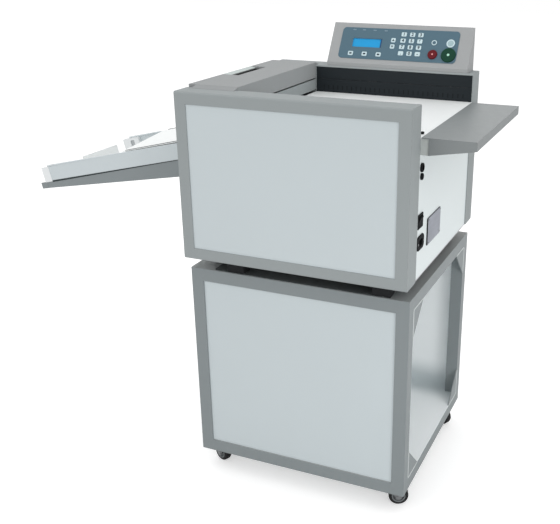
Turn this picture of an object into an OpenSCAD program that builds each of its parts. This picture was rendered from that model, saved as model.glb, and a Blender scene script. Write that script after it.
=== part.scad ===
// Floor-standing paper creasing machine.
// A wheeled tube stand carries a box body with two full-length side covers. Sheets go from the infeed
// shelf over the feed table, through two roller pairs with the creasing head between them under a
// lifting hood, and out to a sloping delivery tray. Millimetres, +Z up, floor at Z = 0,
// +X towards the infeed shelf, -Y towards the front panel.

/* [Stand] */
// Width of the stand along X
stand_w = 560; // [500:5:620]
// Depth of the stand along Y
stand_d = 510; // [460:5:560]
// Height of the tube frame without its casters
stand_h = 517; // [400:1:620]
// Outside width of the square tube
tube = 32; // [25:1:40]
// Wall of the square tube
tube_wall = 1.5; // [1:0.5:3]
// Leg of the corner gussets in the open sides
gusset = 76; // [40:1:84]
// Thickness of the corner gussets
gusset_t = 3; // [2:0.5:5]
// Thickness of the stand's panels and decks
stand_sheet = 1.5; // [1:0.5:3]
// How far the stand's panels sit behind the tube faces
stand_panel_set = 3; // [1:0.5:10]

/* [Casters] */
// Height from the floor to the underside of the stand
caster_h = 60; // [58:1:75]
// Diameter of the caster wheels
wheel_d = 50; // [40:1:50]
// Width of the caster wheels
wheel_w = 20; // [16:1:24]
// Distance from the swivel axis back to the wheel axle
caster_trail = 18; // [16:1:20]
// Turn of the casters outwards from straight back, in degrees
caster_turn = 67; // [0:1:90]
// Distance of the swivel axis from the stand's outer faces
caster_inset = 46; // [40:1:60]
// Side of the square mounting plate
caster_plate = 64; // [56:1:80]
// Diameter of the wheel axle
axle_d = 6; // [5:0.5:8]
// Diameter of the swivel kingpin
kingpin_d = 8; // [6:0.5:10]

/* [Body] */
// Length of the body along X
body_w = 560; // [520:5:640]
// Depth of the body along Y
body_d = 562; // [540:2:600]
// Height of the body
body_h = 399; // [380:1:460]
// Thickness of each side cover along Y
cover_t = 63; // [58:1:75]
// Sheet thickness of covers, panels and table
sheet = 2; // [1.5:0.5:3]
// Bend radius along the covers' long edges
cover_r = 4; // [2:0.5:8]
// Width of the grey rim around the pale side panels
rim = 28; // [20:1:40]
// How far the pale panels reach behind the rim
panel_lap = 10; // [5:1:15]
// Height of the rubber feet under the body
foot_h = 33; // [20:1:45]
// Diameter of the rubber feet
foot_d = 36; // [25:1:40]
// How much narrower the rubber feet are at the bottom
foot_taper = 4; // [0:0.5:8]
// Distance of the rubber feet from the edges of the base plate
foot_inset = 40; // [25:1:60]
// Thickness of the base plate
base_t = 3; // [2:0.5:5]
// How far the end panels sit inside the cover ends
panel_inset = 2; // [1:0.5:6]

/* [Feed] */
// Depth of the feed table below the cover tops
table_drop = 71; // [66:1:90]
// Gap between the feed table and the hood wall
table_gap = 2; // [1:0.5:4]
// Reach of the infeed shelf beyond the covers
shelf_out = 120; // [90:1:160]
// Depth of the shelf's side gussets at the root
shelf_root = 36; // [26:1:50]
// Depth of the shelf's outer lip
shelf_lip = 18; // [12:1:25]
// Thickness along X of the bracket that carries the shelf
shelf_bracket_t = 18; // [12:1:24]
// How far the shelf's ends stay inside the cover faces
shelf_inset = 4; // [2:1:12]
// Height of the black side fence
fence_h = 66; // [50:1:66]
// Height of the fence's horizontal seam above the table
fence_seam = 35; // [20:1:45]

/* [Hood] */
// Width of the hood along X
hood_w = 128; // [124:1:150]
// How far the hood stands above the covers
hood_rise = 6; // [3:0.5:12]
// Height of the hood's lower edge above the table
hood_seam = 36.5; // [35:0.5:40]
// Gap between the hood's lower edge and the entry bar
seam_gap = 3.5; // [3:0.5:5]
// Side gap between the hood and the covers
hood_gap = 2; // [1:0.5:3]
// Height of the paper entry slot
entry_slot = 5; // [4.5:0.5:8]
// Height of the delivery slot
exit_slot = 20; // [15:1:24]
// Length of the finger slot along Y
grip_len = 146; // [100:1:180]
// Width of the finger slot along X
grip_w = 29; // [12:1:32]
// Distance from the hood's left edge to the finger slot
grip_inset = 15; // [12:1:40]
// Depth of the finger ramp where it meets the slot
grip_depth = 3.5; // [3:0.5:10]
// Offset of the finger slot from the middle
grip_y = 14; // [-20:1:20]
// Diameter of the hood's hinge pins
hinge_pin_d = 6; // [4:0.5:6]

/* [Creasing head] */
// Distance from a side cover to the mechanism plate beside it
plate_gap = 32; // [30:1:40]
// Thickness of the mechanism plates
plate_t = 8; // [6:0.5:10]
// Diameter of the feed and exit rollers
roller_d = 30; // [24:1:32]
// Distance of each roller pair from the crease line
roller_pitch = 35; // [33:1:38]
// Gap in the roller nips
nip = 0.4; // [0.3:0.1:1]
// Diameter of the roller journals
journal_d = 12; // [10:0.5:14]
// Stroke of the creasing blade
stroke = 9; // [6:0.5:9]
// Turn of the camshaft for a full stroke, in degrees
cam_turn = 150; // [120:5:170]
// Base radius of the cams
cam_r = 16; // [14:0.5:20]
// Diameter of the camshaft
camshaft_d = 14; // [10:0.5:16]
// Radius of the follower pins
follower_r = 8; // [6:0.5:10]
// Height of the camshaft below the table
cam_drop = 138; // [120:1:180]
// Thickness of the creasing blade
blade_t = 1; // [0.5:0.1:1.5]
// Radial clearance of journals, pins and axles
fit = 0.05; // [0.02:0.01:0.1]
// Side of the square motors
motor_side = 57; // [50:1:60]
// Length of the motors
motor_len = 64; // [50:1:72]

/* [Console] */
// Width of the control console
console_w = 384; // [340:1:420]
// Distance of the console's right end from the cover end
console_end = 17; // [5:1:60]
// Height of the console's front lip
console_lip = 9; // [5:1:15]
// Height of the console's back above the covers
console_h = 106; // [80:1:130]
// Width of the keypad
keypad_w = 321; // [310:1:330]
// Height of the keypad up the slope
keypad_h = 87; // [85:1:90]
// Thickness of the keypad
keypad_t = 1.2; // [0.6:0.2:2]
// Diameter of the start button
start_d = 38; // [30:1:38]
// Diameter of the stop button
stop_d = 25; // [18:1:28]
// How far the buttons stand above the keypad
button_rise = 3; // [2:0.5:4]

/* [Power entry] */
// Width of the mains inlet flange along Y
inlet_w = 50; // [48:1:54]
// Height of the mains inlet flange
inlet_h = 34; // [28:1:38]
// Width of the power switch frame along Y
switch_w = 36; // [30:1:38]
// Height of the power switch frame
switch_h = 32; // [28:1:36]

/* [Delivery tray] */
// Length of the tray down its slope
tray_len = 480; // [400:5:560]
// Width of the tray over its walls
tray_w = 368; // [340:2:400]
// Height of the tray walls
tray_wall = 39; // [25:1:50]
// Slope of the tray in degrees
tray_tilt = 13.7; // [8:0.1:20]
// Depth of the tray floor below the table where it meets the body
tray_drop = 100; // [90:1:130]
// Sheet thickness of the tray
tray_sheet = 1.5; // [1:0.5:3]
// Length of the raised apron at its rear edge
apron_len = 345; // [200:5:360]
// Length of the raised apron at its front edge
apron_near = 228; // [150:1:345]
// Width of the paper stop
stop_w = 154; // [100:1:200]
// Depth of the tray brackets where they meet the body
bracket_root = 46; // [35:1:60]
// Depth of the tray brackets at their tip
bracket_tip = 16; // [10:1:25]
// How far the brackets reach past the tray
bracket_over = 22; // [12:1:40]

/* [Hidden] */
$fn = 48;

// Finishes
frame_grey = [0.59, 0.62, 0.63];
cover_grey = [0.62, 0.64, 0.64];
panel_pale = [0.77, 0.80, 0.82];
sheet_white = [0.90, 0.92, 0.92];
fence_black = [0.10, 0.12, 0.13];
rubber_black = [0.08, 0.08, 0.08];
steel = [0.66, 0.67, 0.68];
motor_black = [0.12, 0.12, 0.13];
keypad_blue = [0.34, 0.43, 0.49];
display_blue = [0.16, 0.61, 0.86];
start_green = [0.02, 0.34, 0.22];
stop_red = [0.52, 0.08, 0.12];

// Small gaps, and how far a cut passes through a face
slip = 0.3;
over = 1;

// Heights
stand_z0 = caster_h;
stand_z1 = caster_h + stand_h;
body_z0 = stand_z1 + foot_h;
body_z1 = body_z0 + body_h;
base_top = body_z0 + base_t;
table_z = body_z1 - table_drop;
table_under = table_z - sheet;

// Casters, from the top down
wheel_r = wheel_d / 2;
caster_plate_t = 2.5;
race_d = 30;
race_t = 2.5;
crown_d = 34;
crown_t = 2.7;
kingpin_head = 3;
kingpin_rim = 2;
plate_low = caster_h - caster_plate_t;
race_low = plate_low - race_t;
crown_top = race_low - slip;
crown_low = crown_top - crown_t;
kingpin_low = crown_low - slip - kingpin_head;
tyre_t = 8;
tyre_round = 5;
hub_r = wheel_r - tyre_t;
hub_boss = 3.5;
hub_wall = 2.5;
hub_web = 6;
leg_t = 2.5;
leg_gap = 1.2;
leg_in = wheel_w / 2 + leg_gap;
leg_r = 8;
leg_back = 8;
leg_front = 10;
axle_head = 2;

// Plan positions
body_x = body_w / 2;
body_y = body_d / 2;
cover_in = body_y - cover_t;
panel_x = body_x - panel_inset;
post_x = stand_w / 2 - tube / 2;
post_y = stand_d / 2 - tube / 2;
bay_x = stand_w / 2 - tube;
bay_y = stand_d / 2 - tube;
hood_x0 = -body_x;
hood_x1 = hood_x0 + hood_w;
crease_x = hood_x0 + hood_w / 2;
table_x0 = hood_x1 + table_gap;
shelf_x0 = body_x + slip;
shelf_x1 = body_x + shelf_out;
shelf_y = cover_in - shelf_inset;

// Tray reach and the middle of the whole object along X
tray_reach = (tray_len + bracket_over) * cos(tray_tilt);
tray_corner = tray_len * cos(tray_tilt) + tray_wall * sin(tray_tilt);
centre_x = (shelf_x1 - panel_x - max(tray_reach, tray_corner)) / 2;

// Hood and hinge
hood_z1 = body_z1 + hood_rise;
hood_z0 = table_z + hood_seam;
hinge_x = hood_x1 - sheet - hinge_pin_d / 2;
hinge_rise = 1.5;
hinge_z = hood_z0 + hinge_rise + hinge_pin_d / 2;
hinge_head = 2;
hood_y = cover_in - hood_gap;
hood_swing = norm([hood_x1 - hinge_x, hinge_z - hood_z0]);
entry_top = hood_z0 - seam_gap;
exit_drop = 8;
exit_z0 = table_z - exit_drop;
exit_fold = 7;
hood_left_z0 = exit_z0 + exit_slot;

// Creasing head
plate_in = cover_in - plate_gap;
plate_out = plate_in + plate_t;
plate_x0 = -panel_x + exit_fold + slip;
plate_x1 = hinge_x - hood_swing;
plate_top = hood_z1 - sheet - slip;
roller_end_gap = 18;
roller_half = plate_in - roller_end_gap;
roller_x = [crease_x + roller_pitch, crease_x - roller_pitch];
roller_low_z = table_z - roller_d / 2;
roller_top_z = table_z + nip + roller_d / 2;
cam_z = table_z - cam_drop;
bar_gap = 0.5;
bar_t = 8;
bar_w = 28;
bar_out = plate_in - bar_gap;
bar_in = bar_out - bar_t;
bar_foot = 4;
beam_w = 22;
beam_h = 24;
beam_rise = 28;
beam_z0 = table_z + beam_rise;
beam_z1 = beam_z0 + beam_h;
blade_bite = 1;
blade_low = table_z + stroke - blade_bite;
blade_seat = 6;
anvil_w = 24;
anvil_h = 32.5;
anvil_dip = 0.5;
anvil_end_gap = 1.5;
anvil_top = table_z - anvil_dip;
anvil_z0 = anvil_top - anvil_h;
anvil_half = bar_in - anvil_end_gap;
groove_room = 1;
groove_depth = 1.3;
tenon_w = 14;
tenon_dip = 3;
tenon_top = table_z - tenon_dip;
window_room = 1;
cam_gap = 6;
cam_t = 12;
cam_y0 = bar_in - cam_gap - cam_t;
cam_step = 6;
cam_dwell = 40;
cam_home = 310;
follower_over = 2;
follower_z = cam_z - cam_r - follower_r - slip;
stub_d = 10;
stub_len = 21;
stub_room = 4;
pulley_r = 11;
pulley_rim = 3;
belt_t = 1.5;
belt_gap = 4;
belt_y0 = plate_out + belt_gap;
belt_w = 10;
flange_t = 1.5;
motor_cap = 9;
motor_cap_r = 5;
motor_waist = 1;
motor_room = 2.5;

// Console
console_x1 = body_x - console_end;
console_x0 = console_x1 - console_w;
console_set = 4;
console_y0 = cover_in + console_set;
console_run = body_y - console_y0;
console_face_h = console_h - console_lip;
face_angle = atan2(console_face_h, console_run);
face_len = norm([console_run, console_face_h]);
keypad_u = 28;
keypad_v = (face_len - keypad_h) / 2;
lcd = [82, 25];
lcd_at = [102, 58.5];
start_at = [328, 35];
stop_at = [286, 34.5];
number_key = [14, 11];
arrow_key = [11, 11];
menu_key = [13, 11];
key_r = 2;
keypad_r = 10;
number_col = [200.5, 223.5, 246];
number_row = [33.5, 51, 68.5, 86];
arrow_at = [[174, 51], [174, 68.5]];
menu_at = [[62, 27], [101, 27], [140, 27]];
ring_at = [[285, 67, 14], [328.5, 67, 22]];
key_rise = 0.6;
display_lap = 3;
collar_w = 2;
collar_t = 2;
stem_len = 4;
button_round = 1;

// Power entry, measured from the front cover's inner face and the base plate
flange_t_out = 3;
flange_gap = 2;
inlet_rise = 87;
inlet_lap = [9, 5];
inlet_deep = 22;
inlet_y = -cover_in + inlet_w / 2 + flange_gap;
inlet_z = body_z0 + inlet_rise;
inlet_hole = [inlet_w / 2 - inlet_lap[0], inlet_h / 2 - inlet_lap[1]];
switch_rise = 139;
switch_lap = [3, 2];
switch_deep = 20;
switch_y = -cover_in + switch_w / 2 + flange_gap;
switch_z = body_z0 + switch_rise;
switch_hole = [switch_w / 2 - switch_lap[0], switch_h / 2 - switch_lap[1]];
rocker = [24, 22];
rocker_tilt = 8;
rocker_room = 1.3;
trunnion_d = 3;
trunnion_len = 1.5;
socket_in = 19;
socket_y = -cover_in + socket_in;
socket_drop = [68, 88];
socket_d = [20, 15];
socket_rim = 2;

// Delivery tray
tray_y = tray_w / 2;
apron_gap = 2.5;
apron_rise = 5;
apron_fold_in = 12;
stop_drop = 1;
glide = 0.2;
bracket_t = 3;
// Length above the tray's root that the vertical face of the body trims off
tray_trim = 30;

// A box from its low corner to its high corner
module block(low, high) {
    translate(low) cube(high - low);
}

// A round bar along Y
module rod_y(d, x, z, y0, y1) {
    translate([x, y0, z]) rotate([-90, 0, 0]) cylinder(d = d, h = y1 - y0);
}

// A round bar along X
module rod_x(d, y, z, x0, x1) {
    translate([x0, y, z]) rotate([0, 90, 0]) cylinder(d = d, h = x1 - x0);
}

// A rectangle with round corners, centred
module round_rect(w, h, r) {
    square([w - 2 * r, h], center = true);
    square([w, h - 2 * r], center = true);
    for (x = [-1, 1], y = [-1, 1])
        translate([x * (w / 2 - r), y * (h / 2 - r)]) circle(r);
}

// An outline drawn in Y and Z, extruded along X
module along_x(x0, x1) {
    translate([x0, 0, 0]) rotate([90, 0, 90]) linear_extrude(height = x1 - x0) children();
}

// An outline drawn in X and Z, extruded along Y
module along_y(y0, y1) {
    translate([0, y1, 0]) rotate([90, 0, 0]) linear_extrude(height = y1 - y0) children();
}

module both_sides() {
    children();
    mirror([0, 1, 0]) children();
}

// Everything is drawn about the stand's middle and moved to the middle of the whole object
module at_origin() {
    translate([-centre_x, 0, 0]) children();
}

// Square tube from a low corner, along one axis. Its ends are open, or capped by a wall of the given thickness
module tube_along(axis, low, length, cap = -over) {
    inner = tube - 2 * tube_wall;
    size = [for (i = [0:2]) i == axis ? length : tube];
    hole = [for (i = [0:2]) i == axis ? length - 2 * cap : inner];
    start = [for (i = [0:2]) i == axis ? cap : tube_wall];
    translate(low) difference() {
        cube(size);
        translate(start) cube(hole);
    }
}

module stand_posts() {
    color(frame_grey) at_origin()
        for (x = [-1, 1], y = [-1, 1])
            tube_along(2, [x * post_x - tube / 2, y * post_y - tube / 2, stand_z0], stand_h, tube_wall);
}

module stand_rails(z) {
    color(frame_grey) at_origin() for (s = [-1, 1]) {
        tube_along(0, [-bay_x, s * post_y - tube / 2, z], 2 * bay_x);
        tube_along(1, [s * post_x - tube / 2, -bay_y, z], 2 * bay_y);
    }
}

module stand_top_rails() {
    stand_rails(stand_z1 - tube);
}

module stand_bottom_rails() {
    stand_rails(stand_z0);
}

// Corner plates in the open sides, flush with the outer faces of the posts
module stand_gussets() {
    low = stand_z0 + tube + stand_sheet;
    high = stand_z1 - tube;
    middle = (stand_w - gusset_t) / 2;
    color(frame_grey) at_origin() for (x = [-1, 1])
        along_x(x * middle - gusset_t / 2, x * middle + gusset_t / 2)
            for (y = [-1, 1]) {
                polygon([[y * bay_y, low], [y * (bay_y - gusset), low], [y * bay_y, low + gusset]]);
                polygon([[y * bay_y, high], [y * (bay_y - gusset), high], [y * bay_y, high - gusset]]);
            }
}

module stand_panel() {
    y = -stand_d / 2 + stand_panel_set;
    color(panel_pale) block([-bay_x, y, stand_z0 + tube], [bay_x, y + stand_sheet, stand_z1 - tube]);
}

module stand_front_panel() {
    at_origin() stand_panel();
}

module stand_rear_panel() {
    at_origin() mirror([0, 1, 0]) stand_panel();
}

// The floor on the bottom rails, and the deck between the top rails that carries the machine's feet
module stand_decks() {
    low = stand_z0 + tube;
    color(panel_pale) at_origin() {
        block([-bay_x, -post_y, low], [bay_x, post_y, low + stand_sheet]);
        block([-stand_w / 2, -bay_y, low], [stand_w / 2, bay_y, low + stand_sheet]);
        block([-bay_x, -bay_y, stand_z1 - stand_sheet], [bay_x, bay_y, stand_z1]);
    }
}

// Places what stays square to the stand under one of its corners
module at_corner(sx, sy) {
    translate([sx * (stand_w / 2 - caster_inset), sy * (stand_d / 2 - caster_inset), 0]) children();
}

// Places a caster under a stand corner, its wheel trailing inwards along Y and turned outwards along X
module at_caster(sx, sy) {
    at_corner(sx, sy) mirror([0, sy > 0 ? 1 : 0, 0]) rotate(-sx * caster_turn) children();
}

module caster_plates() {
    half = caster_plate / 2;
    color(steel) at_origin() for (sx = [-1, 1], sy = [-1, 1]) at_corner(sx, sy) {
        block([-half, -half, plate_low], [half, half, caster_h]);
        translate([0, 0, race_low]) cylinder(d = race_d, h = race_t);
        translate([0, 0, kingpin_low]) cylinder(d = kingpin_d, h = plate_low - kingpin_low);
        translate([0, 0, kingpin_low]) cylinder(d = kingpin_d + 2 * kingpin_rim, h = kingpin_head);
    }
}

module caster_fork(sx, sy) {
    color(steel) at_origin() at_caster(sx, sy) {
        difference() {
            translate([0, 0, crown_low]) cylinder(d = crown_d, h = crown_t);
            translate([0, 0, crown_low - over]) cylinder(d = kingpin_d + 2 * fit, h = crown_t + 2 * over);
        }
        for (s = [-1, 1]) {
            x0 = s > 0 ? leg_in : -leg_in - leg_t;
            along_x(x0, x0 + leg_t) {
                polygon([[-leg_back, crown_top], [leg_front, crown_top], [caster_trail + leg_r, wheel_r],
                    [caster_trail - leg_r, wheel_r]]);
                translate([caster_trail, wheel_r]) circle(leg_r);
            }
            x1 = s > 0 ? leg_in + leg_t : -leg_in - leg_t - axle_head;
            rod_x(axle_d + 2 * axle_head, caster_trail, wheel_r, x1, x1 + axle_head);
        }
        rod_x(axle_d, caster_trail, wheel_r, -leg_in - leg_t, leg_in + leg_t);
    }
}

// Revolves a profile of radius and half width about the wheel axle
module at_axle(sx, sy) {
    at_origin() at_caster(sx, sy) translate([0, caster_trail, wheel_r])
        rotate([0, 90, 0]) rotate_extrude() children();
}

module caster_hub(sx, sy) {
    bore = axle_d / 2 + fit;
    boss = axle_d / 2 + hub_boss;
    rim_in = hub_r - hub_wall;
    web = hub_web / 2;
    half = wheel_w / 2;
    color(frame_grey) at_axle(sx, sy)
        polygon([[bore, -leg_in + slip], [boss, -leg_in + slip], [boss, -web], [rim_in, -web], [rim_in, -half],
            [hub_r, -half], [hub_r, half], [rim_in, half], [rim_in, web], [boss, web],
            [boss, leg_in - slip], [bore, leg_in - slip]]);
}

module caster_tyre(sx, sy) {
    half = wheel_w / 2;
    inner = hub_r + fit;
    color(rubber_black) at_axle(sx, sy) difference() {
        translate([inner, -half]) square([wheel_r - inner, wheel_w]);
        for (s = [-1, 1]) difference() {
            translate([wheel_r - tyre_round, s * half - tyre_round])
                square([tyre_round + over, 2 * tyre_round]);
            translate([wheel_r - tyre_round, s * (half - tyre_round)]) circle(tyre_round);
        }
    }
}

module caster_fork_fl() { caster_fork(-1, -1); }
module caster_fork_fr() { caster_fork(1, -1); }
module caster_fork_rl() { caster_fork(-1, 1); }
module caster_fork_rr() { caster_fork(1, 1); }
module caster_hub_fl() { caster_hub(-1, -1); }
module caster_hub_fr() { caster_hub(1, -1); }
module caster_hub_rl() { caster_hub(-1, 1); }
module caster_hub_rr() { caster_hub(1, 1); }
module caster_tyre_fl() { caster_tyre(-1, -1); }
module caster_tyre_fr() { caster_tyre(1, -1); }
module caster_tyre_rl() { caster_tyre(-1, 1); }
module caster_tyre_rr() { caster_tyre(1, 1); }

module base_plate() {
    color(steel) at_origin() block([-panel_x, -cover_in, body_z0], [panel_x, cover_in, base_top]);
}

module machine_feet() {
    foot_x = min(stand_w / 2, panel_x) - foot_inset;
    foot_y = min(stand_d / 2, cover_in) - foot_inset;
    color(rubber_black) at_origin() for (x = [-1, 1], y = [-1, 1])
        translate([x * foot_x, y * foot_y, stand_z1])
            cylinder(d1 = foot_d - foot_taper, d2 = foot_d, h = foot_h);
}

// A full-length side cover: a folded box, open to its outer face inside the rim, closed at both ends
module cover_shell() {
    low = [-body_x + sheet, -body_y + sheet, body_z0 + sheet];
    high = [body_x - sheet, -cover_in - sheet, body_z1 - sheet];
    difference() {
        along_x(-body_x, body_x)
            translate([-body_y + cover_t / 2, (body_z0 + body_z1) / 2]) round_rect(cover_t, body_h, cover_r);
        block(low, high);
        block([-body_x + rim, -body_y - over, body_z0 + rim],
            [body_x - rim, -body_y + sheet + over, body_z1 - rim]);
        rod_y(hinge_pin_d + 2 * fit, hinge_x, hinge_z, -cover_in - sheet - over, -cover_in + over);
    }
}

// The room that a motor needs in what it passes through
module motor_way(x, z, y0, y1) {
    half = motor_side / 2 + motor_room;
    block([x - half, y0, z - half], [x + half, y1, z + half]);
}

module front_cover() {
    y0 = -cover_in - sheet - over;
    y1 = -cover_in + over;
    color(cover_grey) at_origin() difference() {
        cover_shell();
        motor_way(roller_x[0], roller_low_z, y0, y1);
        motor_way(crease_x, cam_z, y0, y1);
    }
}

module rear_cover() {
    color(cover_grey) at_origin() difference() {
        mirror([0, 1, 0]) cover_shell();
        block([table_x0 - slip, cover_in - over, table_z - slip],
            [body_x - sheet, cover_in + sheet + over, table_z + fence_h + slip]);
    }
}

module cover_panel() {
    x = body_x - rim + panel_lap;
    y = -body_y + sheet;
    color(panel_pale) block([-x, y, body_z0 + rim - panel_lap], [x, y + sheet, body_z1 - rim + panel_lap]);
}

module front_panel() {
    at_origin() cover_panel();
}

module rear_panel() {
    at_origin() mirror([0, 1, 0]) cover_panel();
}

module infeed_end_panel() {
    x0 = panel_x - sheet;
    fold = 16;
    color(sheet_white) at_origin() difference() {
        union() {
            block([x0, -cover_in, base_top], [panel_x, cover_in, table_under]);
            block([panel_x - fold, -cover_in, table_under - sheet], [panel_x, cover_in, table_under]);
        }
        block([x0 - over, inlet_y - inlet_hole[0], inlet_z - inlet_hole[1]],
            [panel_x + over, inlet_y + inlet_hole[0], inlet_z + inlet_hole[1]]);
        block([x0 - over, switch_y - switch_hole[0], switch_z - switch_hole[1]],
            [panel_x + over, switch_y + switch_hole[0], switch_z + switch_hole[1]]);
        for (i = [0, 1])
            rod_x(socket_d[i] - 2 * socket_rim, socket_y, table_z - socket_drop[i], x0 - over, panel_x + over);
    }
}

module delivery_end_panel() {
    color(sheet_white) at_origin() {
        block([-panel_x, -cover_in, base_top], [-panel_x + sheet, cover_in, exit_z0]);
        block([-panel_x, -cover_in, exit_z0 - sheet], [-panel_x + exit_fold, cover_in, exit_z0]);
    }
}

module feed_table() {
    edge = cover_in - slip;
    fold = 20;
    fold_end = 20;
    color(sheet_white) at_origin() {
        block([table_x0, -edge, table_under], [body_x, edge, table_z]);
        both_sides()
            block([table_x0 + fold_end, edge - sheet, table_under - fold],
                [panel_x - fold_end, edge, table_under]);
    }
}

module side_fence() {
    groove = 1.5;
    x1 = body_x - sheet - slip;
    color(fence_black) at_origin() difference() {
        block([table_x0, cover_in, table_z], [x1, cover_in + sheet, table_z + fence_h]);
        block([table_x0 - over, cover_in - over, table_z + fence_seam],
            [x1 + over, cover_in + sheet / 2, table_z + fence_seam + groove]);
    }
}

module shelf_bracket() {
    x1 = panel_x + shelf_bracket_t;
    low = table_under - shelf_root;
    end = shelf_y - sheet;
    color(cover_grey) at_origin() difference() {
        block([panel_x, -end, low], [x1, end, table_under]);
        block([panel_x + sheet, -end + sheet, low + sheet], [x1 + over, end - sheet, table_under - sheet]);
    }
}

module infeed_shelf() {
    x0 = panel_x + shelf_bracket_t + slip;
    color(cover_grey) at_origin() {
        block([shelf_x0, -shelf_y, table_under], [shelf_x1, shelf_y, table_z]);
        block([shelf_x1 - sheet, -shelf_y, table_under - shelf_lip], [shelf_x1, shelf_y, table_under]);
        both_sides() along_y(-shelf_y, -shelf_y + sheet)
            polygon([[x0, table_under], [shelf_x1, table_under], [shelf_x1, table_under - shelf_lip],
                [x0, table_under - shelf_root]]);
    }
}

module hood() {
    left = hood_x0 + grip_inset;
    top = hood_z1;
    grip_y0 = grip_y - grip_len / 2;
    grip_y1 = grip_y + grip_len / 2;
    color(cover_grey) at_origin() difference() {
        union() {
            block([hood_x0, -hood_y, top - sheet], [hood_x1, hood_y, top]);
            block([hood_x1 - sheet, -hood_y, hood_z0], [hood_x1, hood_y, top]);
            block([hood_x0, -hood_y, hood_left_z0], [hood_x0 + sheet, hood_y, top]);
            both_sides() block([hood_x0, -hood_y, hood_z0], [hood_x1, -hood_y + sheet, top]);
            block([hood_x0, grip_y0 - sheet, top - grip_depth - sheet],
                [left + grip_w + sheet, grip_y1 + sheet, top]);
        }
        along_y(grip_y0, grip_y1)
            polygon([[hood_x0 - over, top + over], [hood_x0 - over, top], [left, top - grip_depth],
                [left, top + over]]);
        block([left, grip_y0, top - grip_depth - sheet - over], [left + grip_w, grip_y1, top + over]);
        rod_y(hinge_pin_d + 2 * fit, hinge_x, hinge_z, -hood_y - over, hood_y + over);
    }
}

module hood_hinge_pins() {
    wall = cover_in + sheet;
    color(steel) at_origin() both_sides() {
        rod_y(hinge_pin_d, hinge_x, hinge_z, -wall - hinge_head, -hood_y + sheet + hinge_head);
        rod_y(hinge_pin_d + 2 * hinge_head, hinge_x, hinge_z, -wall - hinge_head, -wall);
    }
}

module entry_bar() {
    color(cover_grey) at_origin() difference() {
        union() {
            block([hood_x1 - sheet, -hood_y, table_z + entry_slot], [hood_x1, hood_y, entry_top]);
            block([plate_x1, -hood_y, entry_top - sheet], [hood_x1, hood_y, entry_top]);
        }
        motor_way(roller_x[0], roller_low_z, -hood_y - over, -plate_out);
    }
}

// Places what lies on the console's sloping face: X along it, Y up the slope, Z outwards
module on_face() {
    translate([console_x0, console_y0, body_z1 + console_lip]) rotate([face_angle, 0, 0]) children();
}

module console_housing() {
    z0 = body_z1;
    rise = tan(face_angle);
    inner_y = console_y0 + sheet * sin(face_angle);
    inner_z = z0 + console_lip - sheet * cos(face_angle);
    front_y = console_y0 + sheet;
    back_y = body_y - sheet;
    color(cover_grey) at_origin() difference() {
        along_x(console_x0, console_x1)
            polygon([[console_y0, z0], [console_y0, z0 + console_lip], [body_y, z0 + console_h], [body_y, z0]]);
        along_x(console_x0 + sheet, console_x1 - sheet)
            polygon([[front_y, z0 + sheet], [front_y, inner_z + (front_y - inner_y) * rise],
                [back_y, inner_z + (back_y - inner_y) * rise], [back_y, z0 + sheet]]);
        on_face() {
            display_cut(0, -sheet - over, sheet + 2 * over);
            button_holes(-sheet - over, sheet + 2 * over);
        }
    }
}

// The holes that the start and stop buttons pass through
module button_holes(z, h) {
    translate([start_at[0], start_at[1], z]) cylinder(d = start_d + 2 * slip, h = h);
    translate([stop_at[0], stop_at[1], z]) cylinder(d = stop_d + 2 * slip, h = h);
}

module key_pad_at(at, size) {
    translate([at[0], at[1], 0]) linear_extrude(height = keypad_t + key_rise)
        round_rect(size[0], size[1], key_r);
}

// The cut-out of the display, widened all round by a lap, from z upwards
module display_cut(lap, z, h) {
    translate([lcd_at[0] - lcd[0] / 2 - lap, lcd_at[1] - lcd[1] / 2 - lap, z])
        cube([lcd[0] + 2 * lap, lcd[1] + 2 * lap, h]);
}

module keypad() {
    color(keypad_blue) at_origin() on_face() difference() {
        union() {
            translate([keypad_u + keypad_w / 2, keypad_v + keypad_h / 2, 0])
                linear_extrude(height = keypad_t) round_rect(keypad_w, keypad_h, keypad_r);
            for (u = number_col, v = number_row) key_pad_at([u, v], number_key);
            for (at = arrow_at) key_pad_at(at, arrow_key);
            for (at = menu_at) key_pad_at(at, menu_key);
            for (r = ring_at) translate([r[0], r[1], 0]) cylinder(d = r[2], h = keypad_t + key_rise);
        }
        display_cut(0, -over, keypad_t + 2 * over);
        button_holes(-over, keypad_t + 2 * over);
    }
}

module display_window() {
    color(display_blue) at_origin() on_face() display_cut(display_lap, -2 * sheet, sheet);
}

// A push button with a domed edge, and a collar that holds it behind the face
module push_button(at, d) {
    r = d / 2;
    top = keypad_t + button_rise;
    collar = -sheet - slip;
    stem = collar - collar_t;
    at_origin() on_face() translate([at[0], at[1], 0]) rotate_extrude()
        polygon([[0, stem - stem_len], [r / 2, stem - stem_len], [r / 2, stem], [r + collar_w, stem],
            [r + collar_w, collar], [r, collar], [r, top - button_round], [r - button_round, top], [0, top]]);
}

module start_button() {
    color(start_green) push_button(start_at, start_d);
}

module stop_button() {
    color(stop_red) push_button(stop_at, stop_d);
}

module switch_frame() {
    wall = 2;
    body = [switch_hole[0] - slip, switch_hole[1] - slip];
    room = [rocker[0] / 2 + slip, rocker[1] / 2 + rocker_room];
    pivot = rocker[0] / 2 + trunnion_len + slip;
    color(fence_black) at_origin() translate([panel_x, switch_y, switch_z]) difference() {
        union() {
            block([0, -switch_w / 2, -switch_h / 2], [flange_t_out, switch_w / 2, switch_h / 2]);
            block([-switch_deep, -body[0], -body[1]], [0, body[0], body[1]]);
        }
        block([-switch_deep + wall, -room[0], -room[1]], [flange_t_out + over, room[0], room[1]]);
        rod_y(trunnion_d + 2 * fit, 0, 0, -pivot, pivot);
    }
}

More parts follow.
